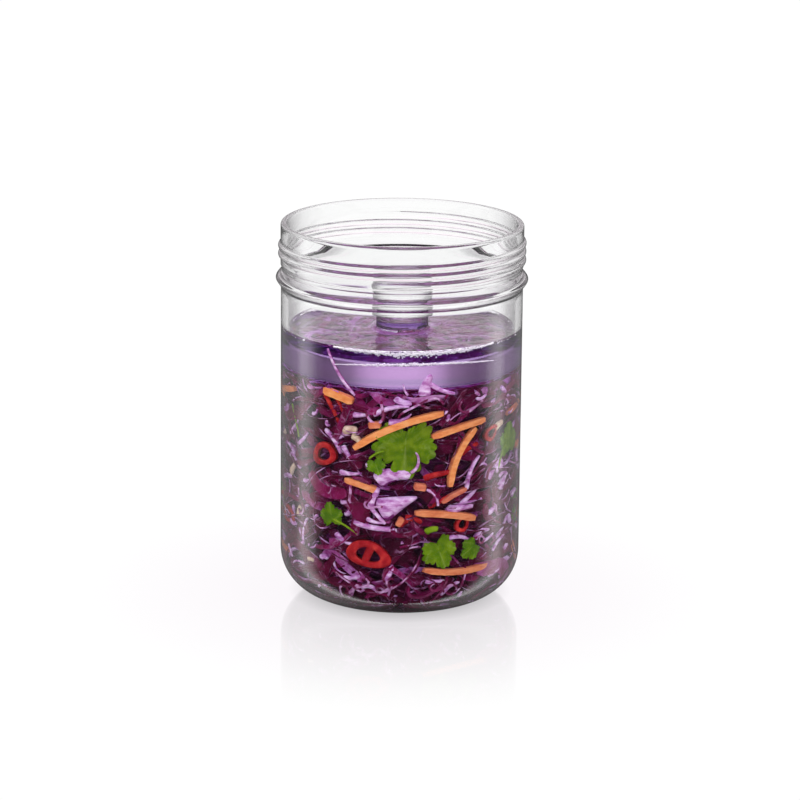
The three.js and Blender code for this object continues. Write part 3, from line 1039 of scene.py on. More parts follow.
def held_back(turn, climb_points):
    """How far a strip is pushed inward at each of its points, in millimetres."""
    push = np.zeros(len(climb_points))
    for at_turn, z, tilt, half_x, half_y in keep_clear:
        gap = (turn - at_turn + 180) % 360 - 180
        if abs(gap) > CLEAR_TURN:
            continue
        dx = math.radians(gap) * INNER_R + climb_points[:, 0]
        dy = climb_points[:, 1] - climb_at(z)
        c, s = math.cos(math.radians(tilt)), math.sin(math.radians(tilt))
        along = (c * dx + s * dy) / (half_x + CLEAR_EDGE)
        across = (c * dy - s * dx) / (half_y + CLEAR_EDGE)
        near = np.sqrt(along ** 2 + across ** 2)
        push = np.maximum(push, CLEAR_PUSH * np.clip((1.3 - near) / 0.4, 0, 1))
    return push


GOLDEN_TURN = 137.508
GOLDEN = 0.618034
SECOND_GOLDEN = 0.7549


def scattered(i, low, high, shift=0.0, step=GOLDEN):
    """Value i of an evenly scattered row between low and high."""
    return low + (high - low) * ((i * step + shift) % 1)


def tilted(points, tilt, z, out):
    """Turn map points by tilt degrees, lift them to a height, and give them new outward places."""
    c, s = math.cos(math.radians(tilt)), math.sin(math.radians(tilt))
    return np.stack([
        c * points[:, 0] - s * points[:, 1],
        s * points[:, 0] + c * points[:, 1] + climb_at(z),
        out,
    ], axis=1)


print("placed pieces", len(keep_clear))

# %% [markdown]
# Red cabbage: the skin of the leaf is a deep purple that the acid of the brine turns magenta, and
# the cut edge is pale and drinks up some of the dye. The pale side shows in stretches along a shred,
# a net of cells shows faintly beside it, and a fine grain raises the skin. Each shred shifts the
# pattern by its own tone, so no two look alike.
# The first helper is for all wet food; the second makes the plainer kinds from one grain.

# %% Red cabbage finish
WET_MIRROR = 0.03


def wet(tree, colour, normal=None, roughness=0.45, specular=WET_MIRROR):
    shader = box_node(tree, "ShaderNodeBsdfPrincipled")
    put(shader, Roughness=roughness, Specular_IOR_Level=specular)
    wire(tree, colour, shader.inputs["Base Color"])
    if normal is not None:
        wire(tree, normal, shader.inputs["Normal"])
    return shader


def food_material(name, grain, stops, relief, other=None, by="cut", other_grain=None, roughness=0.45):
    """Colour by a noise, and by other stops where the face attribute is 0; relief by the noise."""
    material, tree = new_material(name)
    place = place_on(tree)
    noise = noise_at(tree, place, *grain)
    colour = ramp(tree, noise, stops)
    if other:
        under = noise_at(tree, place, *other_grain) if other_grain else noise
        colour = mix(tree, attribute(tree, by), ramp(tree, under, other), colour)
    finish_material(tree, wet(tree, colour, bump(tree, noise, *relief), roughness))
    return material


def cabbage_material():
    material, tree = new_material("red_cabbage")
    place = place_on(tree)
    tone = attribute(tree, "tone")
    own = box_node(tree, "ShaderNodeVectorMath", operation="SCALE")
    own.inputs[0].default_value = (0.9, 1.3, 0.7)
    wire(tree, tone, own.inputs["Scale"])
    shifted = box_node(tree, "ShaderNodeVectorMath", operation="ADD")
    wire(tree, place, shifted.inputs[0])
    wire(tree, own.outputs[0], shifted.inputs[1])
    place = shifted.outputs[0]
    blotch = noise_at(tree, place, 170.0)
    fine = noise_at(tree, place, 620.0)
    mixed = number(tree, "MULTIPLY_ADD", blotch, 0.7, number(tree, "MULTIPLY", fine, 0.4))
    skin_place = number(tree, "ADD", mixed, tone)
    skin = ramp(tree, number(tree, "SUBTRACT", skin_place, 0.55), [
        (0.0, (0.036, 0.0012, 0.011)),
        (0.35, (0.102, 0.0025, 0.027)),
        (0.65, (0.215, 0.008, 0.075)),
        (0.85, (0.34, 0.07, 0.25)),
        (1.0, (0.56, 0.27, 0.52)),
    ])
    pale = ramp(tree, noise_at(tree, place, 420.0), [
        (0.25, (0.32, 0.08, 0.25)),
        (0.5, (0.58, 0.30, 0.54)),
        (0.75, (0.84, 0.64, 0.84)),
    ])
    stretches = ramp(tree, noise_at(tree, place, 190.0, 1.0), [(0.46, 0.03), (0.62, 1.0)])
    shown = number(tree, "MULTIPLY", attribute(tree, "cut"), stretches)
    colour = mix(tree, shown, skin, pale)
    cells = put(box_node(tree, "ShaderNodeTexVoronoi", feature="DISTANCE_TO_EDGE"), Scale=190.0)
    warp = put(box_node(tree, "ShaderNodeTexNoise"), Scale=130.0, Detail=2.0)
    wire(tree, place, warp.inputs["Vector"])
    bent = box_node(tree, "ShaderNodeMix", data_type="VECTOR")
    bent.inputs[0].default_value = 0.012
    wire(tree, place, bent.inputs[4])
    wire(tree, warp.outputs["Color"], bent.inputs[5])
    wire(tree, bent.outputs[1], cells.inputs["Vector"])
    net = ramp(tree, cells.outputs["Distance"], [(0.0, 0.4), (0.03, 0.16), (0.06, 0.0)])
    colour = mix(tree, number(tree, "MULTIPLY", net, stretches), colour, pale)
    vein = noise_at(tree, place, 700.0)
    finish_material(tree, wet(tree, colour, bump(tree, vein, 0.5, 0.0004)))
    return material


cabbage_finish = cabbage_material()
print("cabbage finish ready")

# %% [markdown]
# Cut cabbage lies in a jar in loose layers, mostly level, each shred bent its own way. So three
# layers of shreds lie one behind the other on the wall, a third of them short and curly, and one
# more layer lies flat on the heap's top, under the weight. The last ones are curls that show their
# pale cut side, put where the photograph has them.

# %% Red cabbage shreds
SEED = 4107
# number of shreds, how deep behind the glass, share that is wide
SHRED_LAYERS = [(270, 0.0, 0.3), (330, 1.5, 0.45), (300, 3.1, 0.6)]
TOP_SHREDS = 170
TOP_SPREAD = 43
TOP_LIMIT = 46.3
LOWEST_CLIMB = -9
HIGHEST_CLIMB = 96.5


def shred_heap(rng):
    heap = Heap()
    faces, cut = shred_shape[1:]
    for count, depth, wide_share in SHRED_LAYERS:
        for i in range(count):
            turn = GOLDEN_TURN * i + rng.uniform(-8, 8) + 40 * depth
            climb = LOWEST_CLIMB + (HIGHEST_CLIMB - LOWEST_CLIMB) * (i + rng.random()) / count
            curly = rng.random() < 0.3
            length = rng.uniform(12, 26) if curly else rng.uniform(20, 46)
            drift = rng.uniform(-3.8, 3.8) if curly else rng.uniform(-1.3, 1.3)
            heading = rng.gauss(0, 0.5)
            line, angle = route(length, heading, drift, rng.uniform(-0.5, 0.5), rng.uniform(0, 6))
            wide = rng.random() < wide_share
            roll = rng.uniform(-0.6, 0.6) if wide else rng.uniform(-1.2, 1.2)
            twist = (roll, roll + rng.uniform(-0.6, 0.6) * (1 if wide else 2.4))
            width = rng.uniform(3.6, 7.0) if wide else rng.uniform(1.5, 3.6)
            thickness = rng.uniform(0.4, 0.95)
            laid = lay_strip(
                shred_shape, line, angle, twist, width, thickness, depth,
                rng.uniform(0, 1.6), rng.uniform(0, 6))
            laid[:, 1] += climb
            laid[:, 2] -= held_back(turn, laid)
            laid[:, 1] = np.minimum(laid[:, 1], HEAP_TOP - 0.3)
            heap.add(on_wall(turn, laid), faces, cut, min(1, max(0, rng.gauss(0.36, 0.2))))
    return heap


def top_shreds(heap, rng):
    faces, cut = shred_shape[1:]
    for i in range(TOP_SHREDS):
        r = TOP_SPREAD * math.sqrt((i + 0.5) / TOP_SHREDS)
        around = math.radians(GOLDEN_TURN * i)
        line, angle = route(rng.uniform(14, 30), 0, rng.uniform(-2, 2), rng.uniform(-0.6, 0.6), 0)
        roll = rng.uniform(-1.3, 1.3)
        laid = lay_strip(
            shred_shape, line, angle, (roll, roll + rng.uniform(-1, 1)), rng.uniform(1.5, 3.4),
            rng.uniform(0.5, 0.9), rng.uniform(0, 1.1), 0.8, rng.uniform(0, 6))
        centre = (r * math.sin(around), -r * math.cos(around))
        points = on_top(*centre, laid, rng.uniform(0, 2 * math.pi))
        reach = np.hypot(points[:, 0], points[:, 1])
        shrink = np.minimum(1, TOP_LIMIT / np.maximum(reach, 1))
        points[:, :2] *= shrink[:, None]
        # the shreds on the heap's top get a higher tone, which makes them paler: painted light on the
        # heap's top
        heap.add(points, faces, cut, min(1, max(0, rng.gauss(0.72, 0.18))))


# turn, climb, length, heading, drift, sway
CURLS = [
    (-27, 15, 26, 0.4, 7.0, 1.3), (-24, 11, 22, -0.6, -6.0, 1.5), (-21, 14, 20, 1.4, 5.0, -1.4),
    (-30, 9, 18, 1.0, -6.5, 1.0), (-8, 13.5, 16, -1.0, 4.0, 1.2), (-5, 15, 12, 1.2, -3.0, 1.0),
    (13, 12, 22, 0.1, 3.2, 0.4), (24, 11, 20, 0.3, -3.6, 0.6), (31, 14, 22, 0.5, 4.4, 0.7),
    (20, 15, 16, -0.2, 5.5, 0.5), (-19, 60, 14, 0.2, 6.5, 1.6), (-24, 55, 14, 0.8, -6.0, 1.2),
    (-40, 56, 18, 1.1, 4.5, 1.0), (44, 33, 16, 0.6, 6.0, 0.8), (-14, 50, 14, -0.9, 3.0, 0.9),
    (36, 90, 20, -0.3, 3.5, 0.6), (10, 92, 22, 0.2, -2.5, 0.5), (-12, 88, 20, 0.5, 2.6, 0.7),
    (-58, 45, 18, 1.2, 4.0, 1.1), (56, 44, 18, 1.0, -4.5, 0.9), (62, 88, 18, 0.7, 5.0, 0.9),
]


def curls(heap, rng):
    """Narrow curled shreds whose pale cut side lies to the glass."""
    faces, cut = shred_shape[1:]
    for turn, climb, length, heading, drift, sway in CURLS:
        line, angle = route(length, heading, drift, sway, rng.uniform(0, 2))
        laid = lay_strip(
            shred_shape, line, angle, (1.3, 1.55), 2.4, rng.uniform(0.8, 1.3), rng.uniform(0, 0.5))
        laid[:, 1] = np.minimum(laid[:, 1] + climb, HEAP_TOP - 0.3)
        heap.add(on_wall(turn, laid), faces, cut * 2.5, 0.5)


rng = random.Random(SEED)
cabbage_heap = shred_heap(rng)
top_shreds(cabbage_heap, rng)
curls(cabbage_heap, rng)
red_cabbage = cabbage_heap.build("red_cabbage", cabbage_finish, 50)

# %% [markdown]
# Behind the shreds the heap goes on. Its core is a turned body a few millimetres smaller than the
# jar, with a rough grain and a very dark colour that is painted shade, so that gaps between shreds
# look like more shreds in the shade.

# %% Core of the heap
CORE_DEPTH = 5.2
CORE_TOP = HEAP_TOP - 3


def core_outline():
    r = INNER_R - CORE_DEPTH
    low = FLOOR_T + CORE_DEPTH * 0.6
    corner = arc(CORNER_CENTRE_R, low + INNER_CORNER, r - CORNER_CENTRE_R, -90, 0, 10)
    edge = [(r, CORE_TOP - 3), (r - 1, CORE_TOP - 0.9), (r - 3, CORE_TOP)]
    side = [(r, 40), (r, 60), (r, 80)]
    return [(0, corner[0][1]), (15, corner[0][1])] + corner + side + edge + [
        (18, CORE_TOP), (0, CORE_TOP)]


core_cabbage_in_painted_shade = food_material(
    "core_cabbage_in_painted_shade", (110.0, 4.0, (1, 1, 3)),
    [(0.3, (0.02, 0.0015, 0.012)), (0.55, (0.07, 0.006, 0.04)), (0.8, (0.2, 0.03, 0.14))],
    (0.8, 0.002), roughness=0.6)
heap_core = lathe("heap_core", core_outline(), 64)
shade(heap_core)
heap_core.data.materials.append(core_cabbage_in_painted_shade)
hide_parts("vegetables")
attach(heap_core, "root")
print("core faces", len(heap_core.data.polygons))

# %% [markdown]
# Carrot is cut into matchsticks: square in section, straight or gently arched, orange that the
# brine has warmed. They are copies of the thick bar, bent along an arc.

# %% Carrot
BACK_CARROTS = 34
# the other colours are those of the sticks that the brine has dyed
carrot_flesh = food_material(
    "carrot", (260.0, 3.0, (1, 1, 2.5)),
    [(0.25, (0.80, 0.22, 0.06)), (0.5, (0.92, 0.36, 0.11)), (0.78, (0.97, 0.50, 0.20))],
    (0.4, 0.0004),
    other=[(0.25, (0.42, 0.07, 0.06)), (0.5, (0.62, 0.16, 0.10)), (0.78, (0.78, 0.28, 0.16))],
    by="tone", roughness=0.4)


def lay_stick(heap, turn, z, tilt, length, width, bend, depth=0.0, tone=0.5, thickness=2.8):
    line, angle = route(length, math.radians(tilt), -8 * bend / length, 0, 0)
    laid = lay_strip(stick_shape, line, angle, (0.0, 0.12), width, thickness, depth)
    laid[:, 1] += climb_at(z)
    heap.add(on_wall(turn, laid), stick_shape[1], stick_shape[2], tone)


carrot_heap = Heap()
for turn, z, tilt, length, width, bend, tone in CARROTS:
    lay_stick(carrot_heap, turn, z, tilt, length, width, bend, 0.0, tone)
for i in range(BACK_CARROTS):
    lay_stick(
        carrot_heap, scattered(i, 78, 282), scattered(i, 12, 92, 0.1, SECOND_GOLDEN),
        rng.gauss(0, 32),
        rng.uniform(14, 34), rng.uniform(2.2, 3.0), rng.uniform(-2, 2), rng.uniform(0, 0.8),
        rng.random())
carrots = carrot_heap.build("carrot_sticks", carrot_flesh, 40)

# %% [markdown]
# The thick ribs of the leaf are cut across as pale wedges and sticks with a line of purple skin
# along one edge. They start from a round bar, an octagon in section, whose copies are wide, flat
# or pointed. A few strands rise above the heap beside the weight, and small bits lie between.

# %% Cabbage ribs
FRONT_BITS = 105
BACK_RIBS = 120
# turn, z, tilt, length, width, thickness, width at the far end, bend, depth
RIBS = [
    (-3.5, 62.3, 10, 14, 7.6, 3.6, 0.5, 1.8, 0.0),
    (-1, 50.6, 22, 16, 11.5, 3.6, 0.12, 0.4, 0.1),
    (-13, 53, 68, 9, 3.8, 3.0, 0.5, 0.3, 0.0),
    (34, 47.6, 4, 15, 4.6, 3.4, 0.8, 0.8, 0.6),
    (-13, 40.5, -6, 17, 2.6, 2.4, 0.9, -0.8, 0.0),
    (-11, 45.5, -48, 9, 1.9, 2.0, 0.8, 0, 0.0),
    (17, 53.5, -58, 9, 1.5, 1.6, 0.8, 1.2, 0.0),
    (58, 61.5, 20, 6, 6, 3.6, 0.9, 0, 0.3),
    (62, 54.2, 50, 8, 6, 3.0, 0.3, 0, 0.3),
    (-35, 75.0, -50, 12, 2.4, 2.2, 0.7, 1.0, 0.2),
    (-28, 71, -60, 6, 2.6, 2.2, 0.8, 0, 0.4),
    (-5, 90.5, 14, 15, 3.0, 2.6, 0.4, 1.4, 0.3),
    (0, 86.0, 24, 10, 3.4, 2.6, 0.2, -1.2, 0.6),
    (38, 62, 64, 15, 2.2, 2.2, 0.6, 1.6, 0.2),
    (-55, 34, 76, 12, 2.4, 2.0, 0.5, 1.2, 0.3),
    (-58, 27, 30, 5, 3.6, 2.4, 0.3, 0, 0.2),
    (-5, 20.5, 62, 6.5, 3.0, 2.4, 0.6, 0, 0.2),
    (46, 35, 20, 9, 3.4, 3.0, 0.8, 2.0, 0.6),
    (31, 34.5, -12, 12, 2.2, 2.0, 0.7, 1.8, 0.8),
    (-24, 48, -30, 12, 2.6, 2.2, 0.6, 2.0, 0.6),
    (8, 68, 80, 10, 1.6, 1.6, 0.5, -2.2, 0.0),
    (-12, 66, -20, 9, 2.4, 2.0, 0.5, 1.6, 0.4),
]
# strands that rise above the heap beside the weight
RISERS = [
    (13.0, 100.6, 74, 9, 6.5, 1.5, 0.3, 0.8, 0.1),
    (20.5, 98.2, -24, 12, 2.4, 1.4, 0.6, -0.8, 0.1),
    (-31.5, 104.0, 125, 22, 1.7, 0.8, 0.8, 1.2, 0.0),
    (2.0, 98.8, 112, 5, 1.3, 1.0, 0.4, 0.4, 0.1),
]


def make_round_bar(name, cuts, taper):
    deselect()
    bpy.ops.mesh.primitive_cylinder_add(
        vertices=8, radius=0.5, depth=1, location=(0, 0, 0), rotation=(0, math.pi / 2, 0))
    place_in_mesh(bpy.context.object)
    bar = start(name)
    cut_along(bar, cuts, taper)
    return bar


round_master = make_round_bar("round_master", 9, 0.7)
round_shape = read_master(round_master)


def lay_round(heap, place, size, tone, far=1.0, bend=0.0, depth=0.0, twist=0.0, skin_side=True):
    """A round bar on the wall: place is (turn, z, tilt), size is (length, width, thickness)."""
    turn, z, tilt = place
    length, width, thickness = size
    vertices, faces, cut = round_shape
    line, angle = route(length, math.radians(tilt), -8 * bend / length, 0, 0)
    shaped = vertices.copy()
    t = shaped[:, 0] + 0.5
    shaped[:, 1] *= 1 + (far - 1) * t
    laid = lay_strip((shaped, faces, cut), line, angle, (0.0, twist), width, thickness, depth)
    laid[:, 1] += climb_at(z)
    pale = np.ones(len(faces))
    if skin_side:
        pale = np.array([float(shaped[list(face), 1].mean() > -0.3) for face in faces])
    heap.add(on_wall(turn, laid), faces, pale, tone)


rib_flesh = food_material(
    "cabbage_rib", (300.0, 4.0, (1, 1, 2)),
    [(0.28, (0.30, 0.06, 0.27)), (0.43, (0.52, 0.22, 0.50)), (0.56, (0.74, 0.50, 0.76)),
     (0.74, (0.93, 0.82, 0.94))],
    (0.5, 0.0005),
    other=[(0.3, (0.12, 0.008, 0.08)), (0.7, (0.3, 0.04, 0.24))], other_grain=(200.0,))
rib_heap = Heap()
for turn, z, tilt, length, width, thick, far, bend, depth in RIBS + RISERS:
    lay_round(rib_heap, (turn, z, tilt), (length, width, thick), 0.5, far, bend, depth)
for i in range(FRONT_BITS):
    turn = scattered(i, -75, 75)
    z = scattered(i, 9, 95, 0.15, SECOND_GOLDEN)
    if held_back(turn, np.array([[0.0, climb_at(z)]]))[0] > 0:
        continue
    lay_round(
        rib_heap, (turn, z, rng.gauss(0, 45)),
        (rng.uniform(3, 10), rng.uniform(1.0, 3.2), rng.uniform(0.9, 1.8)), 0.5,
        rng.uniform(0.2, 0.9), rng.uniform(-2, 2), rng.uniform(0.0, 0.9), rng.uniform(-0.8, 0.8))
for i in range(BACK_RIBS):
    place = (scattered(i, 62, 298), scattered(i, 9, 93, 0.3, SECOND_GOLDEN), rng.uniform(-80, 80))
    lay_round(
        rib_heap, place,
        (rng.uniform(5, 15), rng.uniform(1.8, 5.5), rng.uniform(1.5, 3)), 0.5,
        rng.uniform(0.3, 1), rng.uniform(-2, 2), rng.uniform(0.1, 1.6))
cabbage_ribs = rib_heap.build("cabbage_ribs", rib_flesh, 60)

# %% [markdown]
# Chilli and sweet pepper are cut into rings: a wall two or three millimetres thick round an empty
# middle, some with a rib across that makes two holes. The ring is spun once from a small rounded
# section, and each copy is pulled a little out of round. A few plain strips are copies of the round
# bar.

# %% Pepper rings
RING_WALL = 0.46
RING_SIDES = 28
MASTER_RING_R = 10
BACK_RINGS = 22


def pepper_section():
    """A closed section for a ring of radius 1 and height 1."""
    inner = 1 - RING_WALL
    return [
        (inner, -0.42), (inner + 0.06, -0.5), (0.93, -0.5), (1.0, -0.38), (1.0, 0.38),
        (0.93, 0.5), (inner + 0.06, 0.5), (inner, 0.42), (inner, -0.42)]


ring_section = [(r * MASTER_RING_R, z * MASTER_RING_R) for r, z in pepper_section()]
ring_master = lathe("ring_master", ring_section, RING_SIDES)
ring_points = coordinates(ring_master) / MASTER_RING_R
ring_faces = [tuple(face.vertices) for face in ring_master.data.polygons]
ring_cut = np.array([float(abs(face.normal.z) > 0.5) for face in ring_master.data.polygons])


def lay_ring(heap, turn, z, radius, tilt, holes, depth=0.2, height=2.4):
    points = ring_points * (radius, radius, height)
    around = np.arctan2(points[:, 1], points[:, 0])
    out_of_round = 1 + 0.07 * np.sin(3 * around + turn) + 0.05 * np.sin(2 * around + z)
    points[:, 0] *= out_of_round * (1.36 if holes == 2 else 1.1)
    points[:, 1] *= out_of_round * (0.78 if holes == 2 else 0.84)
    points[:, 2] += 0.25 * np.sin(2 * around + turn)
    out = points[:, 2] - height / 2 - 0.3 - GLASS_CLEARANCE - depth
    heap.add(on_wall(turn, tilted(points, tilt, z, out)), ring_faces, ring_cut, 0.5)
    if holes == 2:
        lay_round(
            heap, (turn, z, tilt + 74), (radius * 1.5, radius * 0.42, height * 0.8), 0.6,
            1.2, 0.3, depth + 0.5, 0.0, False)


pepper_flesh = food_material(
    "red_pepper", (330.0,),
    [(0.25, (0.22, 0.006, 0.012)), (0.5, (0.42, 0.015, 0.02)), (0.8, (0.72, 0.07, 0.05))],
    (0.4, 0.0005), other=[(0.3, (0.2, 0.003, 0.007)), (0.7, (0.42, 0.009, 0.012))])
pepper_heap = Heap()
for turn, z, radius, tilt, holes in PEPPER_RINGS:
    lay_ring(pepper_heap, turn, z, radius, tilt, holes)
for i in range(BACK_RINGS):
    lay_ring(
        pepper_heap, scattered(i, 72, 288, 0.2), scattered(i, 14, 90, 0, SECOND_GOLDEN),
        rng.uniform(3, 6), rng.uniform(0, 180), 1 + i % 2, rng.uniform(0.1, 0.8))
# turn, z, tilt, length, width
PEPPER_STRIPS = [
    (-36, 87.5, -58, 15, 2.4), (-31, 89, -64, 9, 1.8), (20, 62.5, 8, 13, 3.0),
    (24, 52, 18, 16, 2.6), (7, 44, -20, 7, 3.0), (2, 42.5, 30, 4, 2.6), (37, 72, 20, 9, 3),
]
for turn, z, tilt, length, width in PEPPER_STRIPS:
    lay_round(
        pepper_heap, (turn, z, tilt), (length, width, 1.8), 0.5, 0.7, 0.5, 0.9, 0.3, False)
pepper_rings = pepper_heap.build("pepper_rings", pepper_flesh, 45)

# %% [markdown]
# A herb leaf is a thin sheet with deep round lobes, small teeth and raised veins. The master is
# a disc with rings of vertices: its rim is drawn in and out to make the lobes, and it is then
# bent in waves. Solidify gives it a thickness.

# %% Herb leaves
LEAF_RIM = 112
LEAF_RINGS = 5
LEAF_BASE_Y = -0.3
LEAF_THICKNESS = 0.03
BACK_LEAVES = 20


def leaf_rim(angle):
    """Radius of the leaf's rim for an angle from its tip, for a leaf one unit across."""
    lobes = 0.42 + 0.04 * np.cos(5 * angle) + 0.03 * np.cos(3 * angle + 0.5)
    teeth = 0.075 * np.abs(np.sin(9.5 * angle + 0.4)) ** 0.6
    clefts = sum(0.08 * np.exp(-((angle - at) / 0.06) ** 2) for at in (-1.9, -0.75, 0.6, 1.7))
    flat_base = 0.2 * np.exp(-((np.abs(angle) - math.pi) / 0.7) ** 2)
    return lobes + teeth - clefts - flat_base


def make_leaf(name):
    deselect()
    bpy.ops.mesh.primitive_circle_add(vertices=LEAF_RIM, radius=0.5, fill_type="NGON")
    leaf = start(name)
    bpy.ops.mesh.select_mode(type="FACE")
    bpy.ops.mesh.select_all(action="SELECT")
    for _ in range(LEAF_RINGS - 1):
        bpy.ops.mesh.inset(thickness=0.5 / LEAF_RINGS, depth=0)
    bpy.ops.mesh.poke()
    bpy.ops.object.mode_set(mode="OBJECT")
    points = np.array([v.co[:] for v in leaf.data.vertices])
    r = np.hypot(points[:, 0], points[:, 1]) / 0.5
    angle = np.arctan2(points[:, 0], points[:, 1])
    reach = leaf_rim(angle) * r
    points[:, 0] = reach * np.sin(angle)
    points[:, 1] = reach * np.cos(angle)
    from_base = np.arctan2(points[:, 0], points[:, 1] - LEAF_BASE_Y)
    vein = np.abs(np.sin(4 * from_base)) ** 0.5
    points[:, 2] = 0.04 * r * (vein - 0.5) + 0.03 * np.sin(4 * angle + 1) * r ** 2
    leaf.data.vertices.foreach_set("co", points.ravel())
    deselect()
    leaf.select_set(True)
    bpy.context.view_layer.objects.active = leaf
    solidify = leaf.modifiers.new("thickness", "SOLIDIFY")
    solidify.thickness = LEAF_THICKNESS
    bpy.ops.object.modifier_apply(modifier=solidify.name)
    return leaf


leaf_master = make_leaf("leaf_master")
leaf_points = np.array([v.co[:] for v in leaf_master.data.vertices])
leaf_faces = [tuple(face.vertices) for face in leaf_master.data.polygons]
leaf_vein = np.array([
    abs(math.sin(4 * math.atan2(face.center.x, face.center.y - LEAF_BASE_Y)))
    for face in leaf_master.data.polygons])
print("leaf faces", len(leaf_faces))


def lay_leaf(heap, turn, z, size, tilt, tone, depth=0.0, squash=1.0):
    points = leaf_points * (size * squash, size, size)
    out = points[:, 2] - points[:, 2].max() - GLASS_CLEARANCE - depth
    heap.add(on_wall(turn, tilted(points, tilt, z, out)), leaf_faces, leaf_vein, tone)


def herb_material():
    material, tree = new_material("herb_leaf")
    mottle = noise_at(tree, place_on(tree), 380.0)
    shift = number(
        tree, "MULTIPLY_ADD", attribute(tree, "tone"), 0.6, number(tree, "MULTIPLY", mottle, 0.6))
    green = ramp(tree, shift, [
        (0.2, (0.015, 0.04, 0.004)),
        (0.42, (0.05, 0.14, 0.006)),
        (0.62, (0.115, 0.24, 0.004)),
        (0.85, (0.27, 0.42, 0.02)),
    ])
    vein = ramp(tree, attribute(tree, "cut"), [(0.0, 1.0), (0.28, 0.0)])
    colour = mix(tree, number(tree, "MULTIPLY", vein, 0.3), green, (0.4, 0.55, 0.12))
    finish_material(tree, wet(tree, colour, bump(tree, mottle, 0.6, 0.0005)))
    return material


herb_heap = Heap()
for turn, z, size, tilt in LEAVES:
    lay_leaf(herb_heap, turn, z, size, tilt, 0.55 if size > 12 else 0.42)
for i in range(BACK_LEAVES):
    lay_leaf(
        herb_heap, scattered(i, 78, 282, 0.45), scattered(i, 14, 90, 0.55, SECOND_GOLDEN),
        rng.uniform(9, 20), rng.uniform(0, 360), rng.uniform(0.3, 0.65), rng.uniform(0, 0.6),
        rng.uniform(0.6, 1))
# turn, z, tilt, length, width
STEMS = [
    (-63, 79, -66, 14, 1.2), (-28, 39.8, -24, 12, 1.0), (16, 39.4, 12, 5.4, 3.0),
    (-12, 71.5, 30, 7, 1.0), (60, 66, 60, 12, 1.1),
]
for turn, z, tilt, length, width in STEMS:
    lay_round(
        herb_heap, (turn, z, tilt), (length, width, min(width, 2)), 0.75, 0.8, 0.6, 0.1, 0.0, False)
herb_leaves = herb_heap.build("herb_leaves", herb_material(), 60)

# %% [markdown]
# Small slices of garlic are cream coloured, and the brine hardly dyes them. They too are copies of
# the round bar, short and wide.

# %% Garlic
BACK_SLICES = 12
# turn, z, size, tilt
GARLIC = [
    (-67, 57.5, 6, 50), (-26, 80.5, 6.4, 10), (-22, 77, 5.4, -40), (57, 78.8, 6, 20),
    (-50, 22, 4, 0), (-60, 41, 5, 70)]
garlic_flesh = food_material(
    "garlic", (420.0,),
    [(0.25, (0.48, 0.30, 0.22)), (0.5, (0.70, 0.56, 0.36)), (0.8, (0.86, 0.78, 0.58))],
    (0.5, 0.0006))
garlic_heap = Heap()
for turn, z, size, tilt in GARLIC:
    lay_round(garlic_heap, (turn, z, tilt), (size, size * 0.62, 2.2), 0.5, 0.7, 0.4, 0.3, 0.0, False)
for i in range(BACK_SLICES):
    size = rng.uniform(4, 7)
    place = (
        scattered(i, 75, 285, 0.8), scattered(i, 16, 88, 0.2, SECOND_GOLDEN), rng.uniform(0, 180))
    lay_round(
        garlic_heap, place, (size, size * 0.6, 2.2), 0.5, 0.7, 0.4, rng.uniform(0, 0.8), 0.0, False)
garlic = garlic_heap.build("garlic_slices", garlic_flesh, 60)

# %% [markdown]
# Cabbage in brine gives off gas. Small bubbles cling to the wall where the brine meets it and at
# the height of the weight's rim. Their near-white colour is a painted glint, and it makes the broken
# white lines there. One small sphere is the master. Its copies crowd at the front, where the
# photograph shows them, and the rows thin out towards their ends; a few more go round the rest of
# the waterline.

# %% Bubbles at the waterline
WATERLINE_BUBBLES = 900
RIM_BUBBLES = 560
REST_BUBBLES = 110
ROW_MIDDLE = 8
ROW_HALF = 43
RIM_ROW_Z = 109.4
BUBBLE_LETS_THROUGH = 0.28


def make_bubble(name):
    deselect()
    bpy.ops.mesh.primitive_uv_sphere_add(segments=8, ring_count=6, radius=1, location=(0, 0, 0))
    bubble = start(name)
    bpy.ops.object.mode_set(mode="OBJECT")
    return bubble


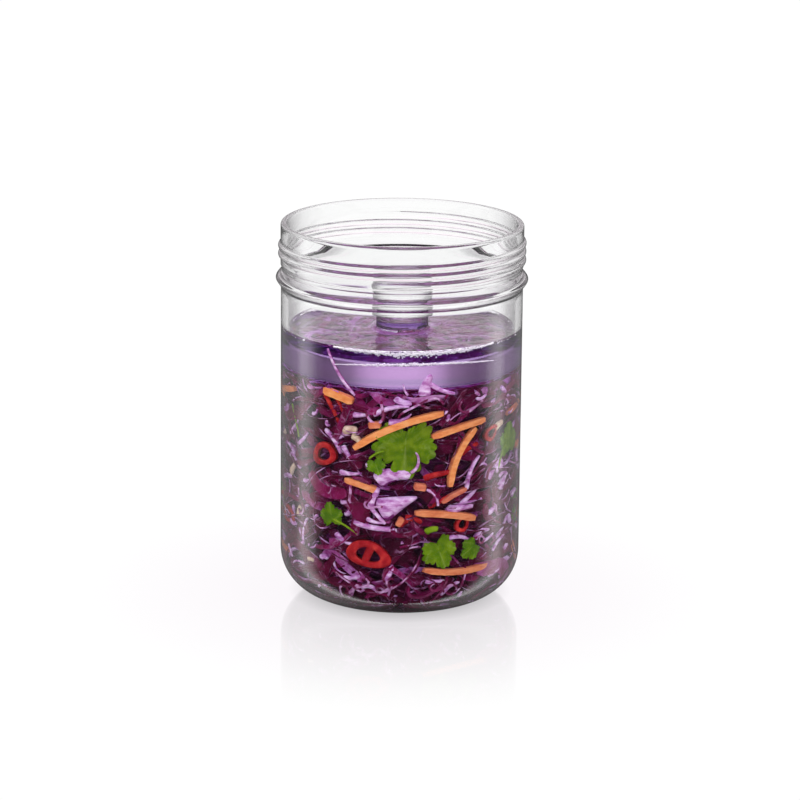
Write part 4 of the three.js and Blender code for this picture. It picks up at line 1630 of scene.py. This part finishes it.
def bubble_material():
    material, tree = new_material("bubbles")
    # near white: a painted glint for the bubbles
    film_painted_glint = ramp(tree, noise_at(tree, place_on(tree), 500.0), [
        (0.3, (0.92, 0.88, 0.95)), (0.6, (1.0, 0.99, 1.0))])
    through = box_node(tree, "ShaderNodeBsdfTranslucent")
    wire(tree, film_painted_glint, through.inputs["Color"])
    skin = wet(tree, film_painted_glint, roughness=0.15, specular=0.5)
    finish_material(tree, mix_shaders(tree, BUBBLE_LETS_THROUGH, skin, through))
    return material


def bubble_place(i):
    """The turn of bubble i of a row, and how full the row is there: 1 in front, 0 at its ends."""
    t = scattered(i, -1, 1)
    return ROW_MIDDLE + ROW_HALF * t, 1 - t * t


def add_bubble(heap, turn, r, z, size):
    angle = math.radians(turn)
    centre = (r * math.sin(angle), -r * math.cos(angle), z)
    heap.add(bubble_points * size + centre, bubble_faces, np.zeros(len(bubble_faces)), 0.5)


bubble_master = make_bubble("bubble_master")
bubble_points = np.array([v.co[:] for v in bubble_master.data.vertices])
bubble_faces = [tuple(face.vertices) for face in bubble_master.data.polygons]
bubble_heap = Heap()
for i in range(WATERLINE_BUBBLES):
    turn, full = bubble_place(i)
    size = rng.uniform(0.18, 0.34) * (0.5 + 0.5 * full)
    r = INNER_R - size - 0.05 - rng.random() ** 2 * 0.6
    z = brine_top(r) - size - 0.1 - abs(rng.gauss(0, 0.8)) * full
    add_bubble(bubble_heap, turn, r, z, size)
for _ in range(REST_BUBBLES):
    size = rng.uniform(0.14, 0.34)
    r = INNER_R - size - 0.05
    turn = rng.uniform(50, 310)
    add_bubble(bubble_heap, turn, r, brine_top(r) - size - 0.1 - 0.5 * rng.random(), size)
for i in range(RIM_BUBBLES):
    turn, full = bubble_place(i)
    size = rng.uniform(0.2, 0.38) * (0.5 + 0.5 * full)
    z = RIM_ROW_Z + rng.gauss(0, 0.26) * full - 2.2 * (1 - full)
    add_bubble(bubble_heap, turn, INNER_R - size - 0.05 - 0.5 * rng.random(), z, size)
bubbles = bubble_heap.build("bubbles", bubble_material(), None, False)

# %% [markdown]
# Every piece has its own mesh now, so the masters can go.

# %% Masters no longer needed
for master in (bubble_master, shred_master, stick_master, round_master, ring_master, leaf_master):
    bpy.data.objects.remove(master)
print("masters removed")
